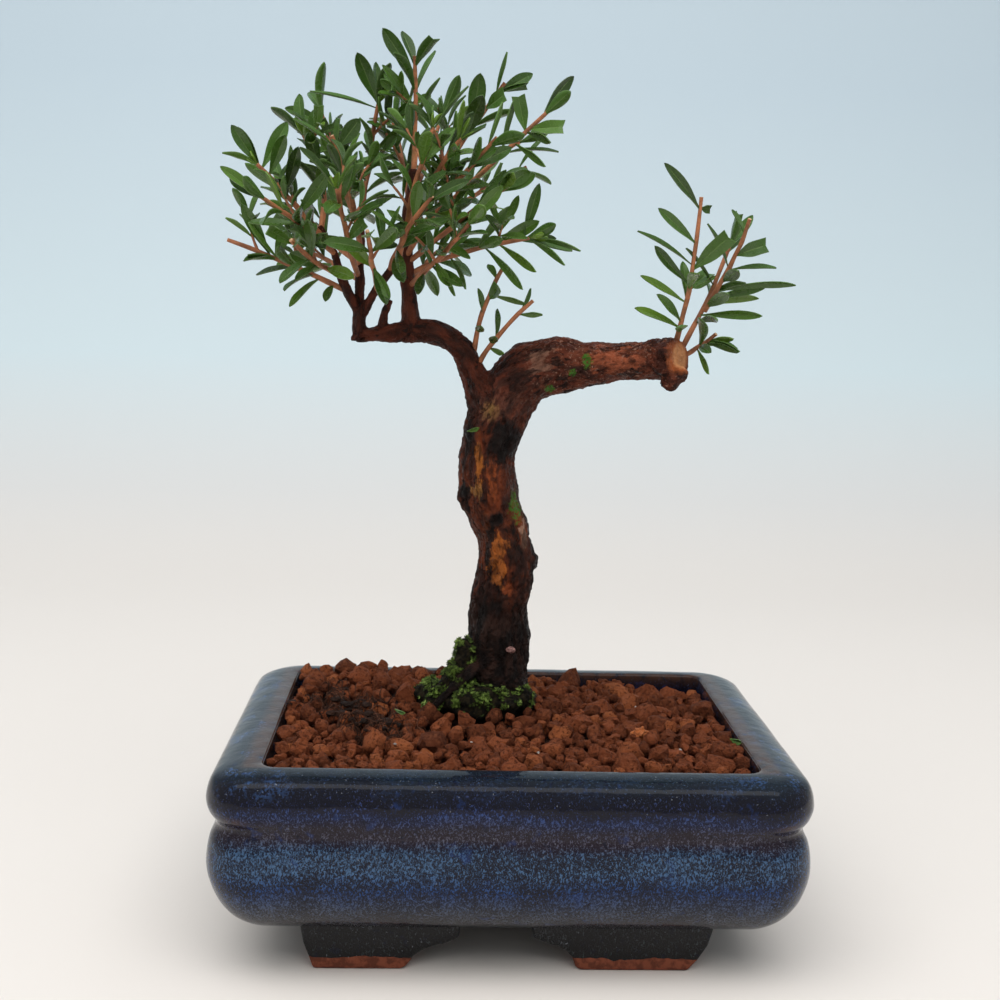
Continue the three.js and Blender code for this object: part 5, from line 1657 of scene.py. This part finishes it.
def standing_leaves(shoot, order, solid):
    """The shoot's leaves, each in the swing in which it stands in the solid. A leaf from the
    growth rule that isn't in the solid is left out, and one that is placed by its tip stays."""
    placed = [leaf_to_tip(shoot, *leaf) for leaf in shoot[7]]
    paired = [paired_leaf(shoot, order, pair, side)
              for pair in range(shoot[4]) for side in (0, 1)]
    standing = []
    for number, leaf in enumerate(placed + paired):
        widest = WIDEST_TRIMMED if leaf["trimmed"] else WIDEST_WHOLE
        best = None
        for turn, lift in SWINGS:
            candidate = swung(leaf, turn, lift)
            stray = 0.0
            for t in (widest, 1.0):
                stray = max(stray, solid.find_nearest(rib_point(candidate, t) * MM)[3] / MM)
            if best is None or stray < best[0] - 0.02:
                best = (stray, candidate)
        if best[0] < MOST_STRAY:
            standing.append(best[1])
        elif number < len(placed):
            standing.append(leaf)
    return standing


def arched(leaf, extra):
    """The leaf with a deeper droop. Its root and its tip stay where they are."""
    face = leaf["across"].cross(leaf["along"])
    curl = leaf["curl"] + (-extra if face.z > 0 else extra)
    if abs(curl) < LEAST_CURL:
        curl = LEAST_CURL
    lean = math.degrees(curl - leaf["curl"]) / 2
    return {**leaf, "curl": curl, "along": turned(leaf["along"], leaf["across"], -lean)}


def half_width(v, trimmed):
    """Half of a blade's width at a share of its length, where its full width is 1."""
    widest = WIDEST_TRIMMED if trimmed else WIDEST_WHOLE
    if trimmed or v < widest:
        rise = min(v / widest, 1)
        return 0.5 * (BLADE_FOOT + (1 - BLADE_FOOT) * math.sin(math.pi / 2 * rise) ** 1.4)
    past = (v - widest) / (1 - widest)
    return 0.5 * max(max(1 - past ** 2.0, 0) ** 0.68, BLADE_TIP)


def blade_model(name, trimmed, thickness, upper, under):
    """A flat blade: width as a share across, length as a share along, folded at its midrib."""
    def place(column, row):
        v = 1 - (1 - row / BLADE_ROWS) ** 1.35
        return ((2 * column / BLADE_COLUMNS - 1) * half_width(v, trimmed), v, 0)

    model = shaped_grid(name, BLADE_COLUMNS, BLADE_ROWS, place)
    mesh = model.data
    while mesh.uv_layers:
        mesh.uv_layers.remove(mesh.uv_layers[0])
    layer = mesh.uv_layers.new(name="blade")
    for loop in mesh.loops:
        point = mesh.vertices[loop.vertex_index].co / MM
        width = max(half_width(point.y, trimmed), 0.001)
        layer.data[loop.index].uv = (0.5 + 0.5 * point.x / width, point.y)
    set_coordinates(mesh, coordinates(mesh) / MM)
    finish_modifier(model, "SOLIDIFY", thickness=thickness / MM, offset=0, material_offset=1,
                    material_offset_rim=0)
    for vertex in mesh.vertices:
        v = vertex.co.y
        u = abs(vertex.co.x) / half_width(v, trimmed)
        vertex.co.z += 0.5 * u * smoothstep(0.02, 0.35, v) * (1 - 0.6 * smoothstep(0.7, 1, v))
        if trimmed:
            vertex.co.y -= 0.06 * (1 - u) * smoothstep(0.8, 1, v)
    smooth(model, 60)
    give_materials(model, upper, under)
    return model


def bent_blade(unit, leaf, cup, wave):
    """The flat blade's points, bent along the leaf's midrib."""
    across = np.array(leaf["across"])
    along = np.array(leaf["along"])
    face = np.array(leaf["across"].cross(leaf["along"]))
    v = unit[:, 1]
    bend = leaf["curl"] * v
    forward = leaf["length"] * np.sin(bend) / leaf["curl"]
    rise = leaf["length"] * (1 - np.cos(bend)) / leaf["curl"]
    square = face[None, :] * np.cos(bend)[:, None] - along[None, :] * np.sin(bend)[:, None]
    sideways = unit[:, 0] * leaf["width"]
    lift = unit[:, 2] + cup * (2 * unit[:, 0]) ** 2 + wave * np.sin(9 * v) * unit[:, 0]
    return (np.array(leaf["root"])[None, :] + along[None, :] * forward[:, None]
            + face[None, :] * rise[:, None] + across[None, :] * sideways[:, None]
            + square * lift[:, None])


def side_twig(shoot, t, number, draw):
    """A short side twig that grows from the shoot into the crown, with two or three pairs."""
    base = shoot_point(shoot, t)
    tangent = shoot_tangent(shoot, t)
    outward = outward_at(tangent, SIDE_TWIG_TURN * number)
    length = draw.uniform(7, 11)
    best = None
    for turn in range(0, 360, 60):
        side = turned(outward, tangent, turn)
        tip = base + (tangent * 0.55 + side * 0.8) * length
        away = (tip - CROWN_CENTRE).length + draw.uniform(0, 9)
        if best is None or away < best[0]:
            best = (away, side, tip)
    bend = base + (tangent * 0.35 + best[1] * 0.35) * length
    pairs = draw.choice((2, 3))
    return (shoot[0], tuple(base), tuple(bend), tuple(best[2]), pairs, 0.45, LAST_PAIR, [])


def small_leaves(twiglet, order, draw):
    """The leaves of a side twig, smaller than those of a shoot."""
    leaves = []
    for pair in range(twiglet[4]):
        for side in (0, 1):
            leaf = paired_leaf(twiglet, order, pair, side)
            leaf["length"] *= draw.uniform(0.5, 0.8)
            leaf["width"] *= draw.uniform(0.6, 0.85)
            leaves.append(leaf)
    return leaves


def young_pair(shoot, order, draw):
    """Two narrow young leaves at the very tip of a shoot."""
    tangent = shoot_tangent(shoot, 1)
    outward = outward_at(tangent, YOUNG_PAIR_TURN * order)
    return [{"root": shoot_point(shoot, 1),
             "along": (tangent + outward * side * 0.5).normalized(),
             "across": outward.cross(tangent).normalized(),
             "length": draw.uniform(3.5, 6), "width": draw.uniform(1.3, 2.0),
             "curl": 0.3 * side, "trimmed": False, "tangent": tangent, "young": True}
            for side in (-1, 1)]


def make_twig(line, thick, thin, longer, draw, bark, cut_end):
    """A thin tapered twig, kinked at its leaves if it is a shoot, with a pale cut end."""
    is_shoot = thick > 0.5
    route = [shoot_point(line, i / TWIG_PARTS) for i in range(TWIG_PARTS + 1)]
    if is_shoot:
        for i in range(1, TWIG_PARTS):
            route[i] = route[i] + Vector((draw.gauss(0, 0.16), draw.gauss(0, 0.16), 0))
    end = shoot_tangent(line, 1)
    if line[4] and line[6] > 0.9 and longer:
        route.append(route[-1] + end * draw.uniform(1.6, 3.2))
    radii = [between(thick, thin, i / TWIG_PARTS) * (1.0 + 0.16 * (i % 2))
             for i in range(len(route))]
    twig = make_tube("twig", route, radii, 8 if is_shoot else 5, 3)
    give_materials(twig, bark, cut_end)
    for polygon in twig.data.polygons:
        if len(polygon.vertices) > 4 and polygon.normal.dot(end) > 0.8:
            polygon.material_index = 1
    smooth(twig, 50)
    give_tone(twig.data, draw.random())
    return twig


def make_sprays(name, members, settings, materials):
    """Twigs and leaves of a group of shoots as one piece."""
    upper, under, bark, cut_end = materials
    draw = random.Random(len(name))
    whole = blade_model("whole_blade", False, settings.thickness, upper, under)
    clipped = blade_model("trimmed_blade", True, settings.thickness, upper, under)
    pieces = []
    count = 0
    for order, shoot in members:
        on_stump = shoot[0].startswith("stump")
        odd = order % 2 == 1
        solid = surface_tree(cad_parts[f"spray_{shoot[0]}"].data)
        leaves = standing_leaves(shoot, order, solid)
        count += len(leaves)
        twigs = [(shoot, 0.74, 0.5)]
        if shoot[4] > 2 and not on_stump:
            for number, t in enumerate((0.42, 0.76) if odd else (0.55,)):
                twiglet = side_twig(shoot, t, order * 3 + number, draw)
                twigs.append((twiglet, 0.4, 0.3))
                leaves += small_leaves(twiglet, 60 + order * 3 + number, draw)
        if shoot[4] and shoot[6] > 0.9 and odd and not on_stump:
            leaves += young_pair(shoot, order, draw)
        for leaf in leaves:
            model = clipped if leaf["trimmed"] else whole
            tone = YOUNG_TONE if leaf.get("young") else clamped(draw.gauss(0.45, 0.28), 0, 0.94)
            leaf = arched(leaf, draw.uniform(0.15, 0.65))
            points = bent_blade(coordinates(model.data), leaf, draw.uniform(0.0, 0.25),
                                draw.uniform(-0.25, 0.25))
            pieces.append(copy_of(model, "blade", points, tone))
        for line, thick, thin in twigs:
            pieces.append(make_twig(line, thick, thin, on_stump or not odd, draw, bark, cut_end))
    drop(whole)
    drop(clipped)
    print(f"{name}: {count} leaves stand")
    return joined(pieces, name)


class BONSAI_OT_make_sprays(bpy.types.Operator):
    """Makes the leafy shoots of the left crown, of the stump and of the crotch"""

    bl_idname = "bonsai.make_sprays"
    bl_label = "Twigs and leaves"

    def execute(self, context):
        settings = context.scene.bonsai_leaf
        materials = (
            leaf_material("leaf_upper", settings.upper, 0.45, (0.24, 0.36, 0.12), 0.27),
            leaf_material("leaf_under", settings.under, 0.6, (0.26, 0.36, 0.20), 0.5),
            twig_material(settings),
            mottled_material("cut_twig_end", 0.5, (0.38, 0.20, 0.10), (0.62, 0.42, 0.25), 0.8))
        groups = {"crown_sprays": [], "stump_sprays": [], "crotch_sprays": []}
        for order, shoot in enumerate(SHOOTS):
            start = shoot[0].split("_")[0]
            group = f"{start}_sprays" if start in ("stump", "crotch") else "crown_sprays"
            groups[group].append((order, shoot))
        for name, members in groups.items():
            piece = make_sprays(name, members, settings, materials)
            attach(piece, ROOT_BODY)
            nodes = sorted({f"spray_{shoot[0]}" for order, shoot in members})
            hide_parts(*nodes)
        return {"FINISHED"}


# Peat, fine roots and small bits


class Ground:
    """Finds the top of the loose grains."""

    def __init__(self):
        self.grains = surface_tree(bpy.data.objects["soil_grains"].data)

    def top(self, x, y):
        hit = self.grains.ray_cast(Vector((x, y, ABOVE_SOIL)) * MM, Vector((0, 0, -1)))
        return hit[0].z / MM if hit[0] else soil_height(x, y) - 1


def place_in_peat(draw, run, stray):
    share = draw.uniform(-run, run)
    return [PEAT_MIDDLE[i] + PEAT_RUN[i] * share + draw.gauss(0, stray) for i in (0, 1)]


def make_clods(ground, draw):
    model = grain_models(1, draw)[0]
    unit = coordinates(model.data)
    clods = []
    for _ in range(CLODS):
        x, y = place_in_peat(draw, 1, 2.8)
        radius = draw.uniform(0.4, 1.3)
        turn = Matrix.Rotation(draw.uniform(0, 6.3), 3, "Z")
        place = np.array([x, y, ground.top(x, y) - 0.1 * radius])
        points = unit @ np.array(turn).T * radius + place
        clods.append(copy_of(model, "clod", points, draw.uniform(0, 0.6)))
    drop(model)
    return clods


def make_fine_roots(ground, draw):
    threads = []
    for _ in range(FINE_ROOTS):
        x, y = place_in_peat(draw, 1.1, 3.2)
        heading = draw.uniform(0, 6.3)
        route = []
        for _ in range(6):
            heading += draw.gauss(0, 0.5)
            x += 1.5 * math.cos(heading)
            y += 1.5 * math.sin(heading)
            route.append((x, y, ground.top(x, y) + draw.uniform(0.1, 0.9)))
        thick = draw.uniform(0.07, 0.17)
        thread = make_tube("root", route, [thick, thick, thick * 0.7, thick * 0.4], 4, 2)
        give_tone(thread.data, draw.uniform(0.5, 1))
        threads.append(thread)
    return threads


def rock_bit(name, centre, radius, seed, rough=0.9):
    bit = make_lump(name, centre, (radius, radius * 0.8, radius * 0.75), rough, seed)
    finish_modifier(bit, "DECIMATE", ratio=0.12)
    smooth(bit, 35)
    return bit


def make_leaf_bits():
    """Loose bits of leaf, with the materials of the leaves."""
    blade = blade_model("blade_bit", False, BIT_THICKNESS * MM, bpy.data.materials["leaf_upper"],
                        bpy.data.materials["leaf_under"])
    bits = []
    for start, end, width in LEAF_BITS:
        along = Vector(end) - Vector(start)
        leaf = {"root": Vector(start), "along": along.normalized(), "length": along.length,
                "across": Vector((0, 1, 0.3)).cross(along).normalized(), "width": width,
                "curl": 0.6}
        points = bent_blade(coordinates(blade.data), leaf, 0.1, 0.2)
        bits.append(copy_of(blade, "bit", points, 0.85))
    drop(blade)
    return joined(bits, "loose_leaf_bits")


class BONSAI_OT_make_litter(bpy.types.Operator):
    """Makes the patch of peat with its fine roots, and the small bits that lie on the soil"""

    bl_idname = "bonsai.make_litter"
    bl_label = "Peat, roots and bits"

    def execute(self, context):
        draw = random.Random(31)
        ground = Ground()
        peat = joined(make_clods(ground, draw) + make_fine_roots(ground, draw),
                      "peat_and_fine_roots")
        smooth(peat, 40)
        give_materials(peat, peat_material())

        x, y = ORANGE_GRAIN
        orange = rock_bit("orange_grain", (x, y, ground.top(x, y) + 0.8), 2.0, 3)
        give_materials(orange, bit_material("orange_clay", (0.46, 0.13, 0.032)))
        white = joined([
            rock_bit(f"white_{number}", (x, y, ground.top(x, y) + 0.2), radius, 8 + number)
            for number, (x, y, radius) in enumerate(WHITE_BITS)], "white_crumbs")
        give_materials(white, bit_material("white_mineral", (0.62, 0.57, 0.52)))
        nodule = rock_bit("bark_nodule", BARK_NODULE, 1.2, 2, 0.3)
        give_materials(nodule, bit_material("pink_nodule", (0.30, 0.15, 0.13)))
        leaf_bits = make_leaf_bits()
        for piece, kind in ((peat, "soil"), (orange, "soil"), (white, "soil"),
                            (nodule, "wood"), (leaf_bits, "foliage")):
            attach(piece, ROOT_BODY)
        return {"FINISHED"}


# Stage


def make_floor(settings):
    """A floor that bends up into a backdrop."""
    floor = added(bpy.ops.mesh.primitive_plane_add, "floor_and_backdrop", size=FLOOR_SIZE,
                  location=(0, FLOOR_MIDDLE, 0))
    bpy.ops.object.transform_apply(location=True, rotation=False, scale=False)
    bpy.ops.object.mode_set(mode="EDIT")
    mesh = bmesh.from_edit_mesh(floor.data)
    for face in mesh.faces:
        face.select_set(False)
    for edge in mesh.edges:
        if all(vertex.co.y > 1 for vertex in edge.verts):
            edge.select_set(True)
    bmesh.update_edit_mesh(floor.data)
    bpy.ops.mesh.extrude_region_move(TRANSFORM_OT_translate={"value": (0, 0, BACKDROP_HEIGHT)})
    bpy.ops.object.mode_set(mode="OBJECT")
    finish_modifier(floor, "BEVEL", width=BACKDROP_BEND, segments=24, limit_method="ANGLE")
    smooth(floor)
    floor.data.materials.append(stage_material(settings))
    return floor


def light_world(scene, strength):
    """An even glow from all round, warm below and cool above."""
    world = scene.world or bpy.data.worlds.new("Studio")
    scene.world = world
    world.use_nodes = True
    tree = world.node_tree
    tree.nodes.clear()
    output = tree.nodes.new("ShaderNodeOutputWorld")
    height = split(put(tree, "ShaderNodeTexCoord", output="Generated"))[2]
    sky = blend(spread(height, -0.05, 0.6), WARM_GLOW, COOL_GLOW)
    glow = put(tree, "ShaderNodeBackground", None, {"Color": sky, "Strength": strength})
    feed(tree, output.inputs["Surface"], glow)


def soft_light(name, place, aim, size, power, colour, in_reflections):
    light = added(bpy.ops.object.light_add, name, type="AREA", location=Vector(place))
    light.data.shape = "RECTANGLE"
    light.data.size, light.data.size_y = size
    light.data.energy = power
    light.data.color = colour
    light.visible_glossy = in_reflections
    light.rotation_euler = (Vector(aim) - Vector(place)).to_track_quat("-Z", "Y").to_euler()


def make_camera(scene):
    """The camera, from its place, its turn to the right, its tilt down and its roll."""
    yaw, pitch, roll = (math.radians(angle) for angle in CAMERA_TURNS)
    ahead = Vector((math.sin(yaw) * math.cos(pitch), math.cos(yaw) * math.cos(pitch),
                    -math.sin(pitch)))
    right = Vector((math.cos(yaw), -math.sin(yaw), 0))
    up = right.cross(ahead)
    turned_right = right * math.cos(roll) + up * math.sin(roll)
    turned_up = up * math.cos(roll) - right * math.sin(roll)
    camera = added(bpy.ops.object.camera_add, "viewer")
    camera.data.sensor_width = SENSOR_WIDTH
    camera.data.sensor_fit = "HORIZONTAL"
    camera.data.lens = SENSOR_WIDTH * FOCAL_PIXELS / IMAGE_PIXELS
    camera.data.clip_start = 0.01
    turn = Matrix((turned_right, turned_up, -ahead)).transposed().to_4x4()
    turn.translation = CAMERA_PLACE * MM
    camera.matrix_world = turn
    scene.camera = camera


class BONSAI_OT_make_stage(bpy.types.Operator):
    """Makes the plain pale floor and backdrop, the soft lights and the camera"""

    bl_idname = "bonsai.make_stage"
    bl_label = "Stage"

    def execute(self, context):
        settings = context.scene.bonsai_stage
        make_floor(settings)
        light_world(context.scene, WORLD_STRENGTH * settings.light)
        context.scene.view_settings.view_transform = "Standard"
        for name, place, aim, size, power, colour, in_reflections in LIGHTS:
            soft_light(name, place, aim, size, power * settings.light, colour, in_reflections)
        make_camera(context.scene)
        return {"FINISHED"}


class BONSAI_PT_panel(bpy.types.Panel):
    """Lists the pieces of the bonsai, each with its sizes and colours"""

    bl_idname = "BONSAI_PT_panel"
    bl_label = "Syzygium bonsai"
    bl_space_type = "VIEW_3D"
    bl_region_type = "UI"
    bl_category = "Bonsai"

    def draw(self, context):
        for operator, group, fields in PANEL_ROWS:
            box = self.layout.box()
            box.operator(operator)
            for field in fields:
                box.prop(getattr(context.scene, group), field)


PANEL_ROWS = [
    ("bonsai.make_pot", "bonsai_pot", ("glaze_dark", "glaze_fleck", "clay", "unevenness")),
    ("bonsai.make_soil", "bonsai_soil", ("grain", "grain_count", "smallest", "largest")),
    ("bonsai.make_wood", "bonsai_wood", ("bark", "relief", "face_size")),
    ("bonsai.make_moss", "bonsai_moss", ("moss", "tuft_count")),
    ("bonsai.make_sprays", "bonsai_leaf", ("upper", "under", "twig", "thickness")),
    ("bonsai.make_litter", "bonsai_soil", ()),
    ("bonsai.make_stage", "bonsai_stage", ("floor", "backdrop", "light")),
]
SETTINGS = {
    "bonsai_pot": PotSettings, "bonsai_soil": SoilSettings, "bonsai_wood": WoodSettings,
    "bonsai_moss": MossSettings, "bonsai_leaf": LeafSettings, "bonsai_stage": StageSettings,
}
CLASSES = [
    *SETTINGS.values(), BONSAI_OT_make_pot, BONSAI_OT_make_soil, BONSAI_OT_make_wood,
    BONSAI_OT_make_moss, BONSAI_OT_make_sprays, BONSAI_OT_make_litter, BONSAI_OT_make_stage,
    BONSAI_PT_panel,
]


def register():
    for kind in CLASSES:
        bpy.utils.register_class(kind)
    for name, kind in SETTINGS.items():
        setattr(bpy.types.Scene, name, PointerProperty(type=kind))


def unregister():
    for name in SETTINGS:
        delattr(bpy.types.Scene, name)
    for kind in reversed(CLASSES):
        bpy.utils.unregister_class(kind)


def main():
    register()
    bpy.ops.bonsai.make_stage()
    bpy.ops.bonsai.make_pot()
    bpy.ops.bonsai.make_soil()
    bpy.ops.bonsai.make_wood()
    bpy.ops.bonsai.make_moss()
    bpy.ops.bonsai.make_sprays()
    bpy.ops.bonsai.make_litter()


if __name__ == "__main__":
    main()
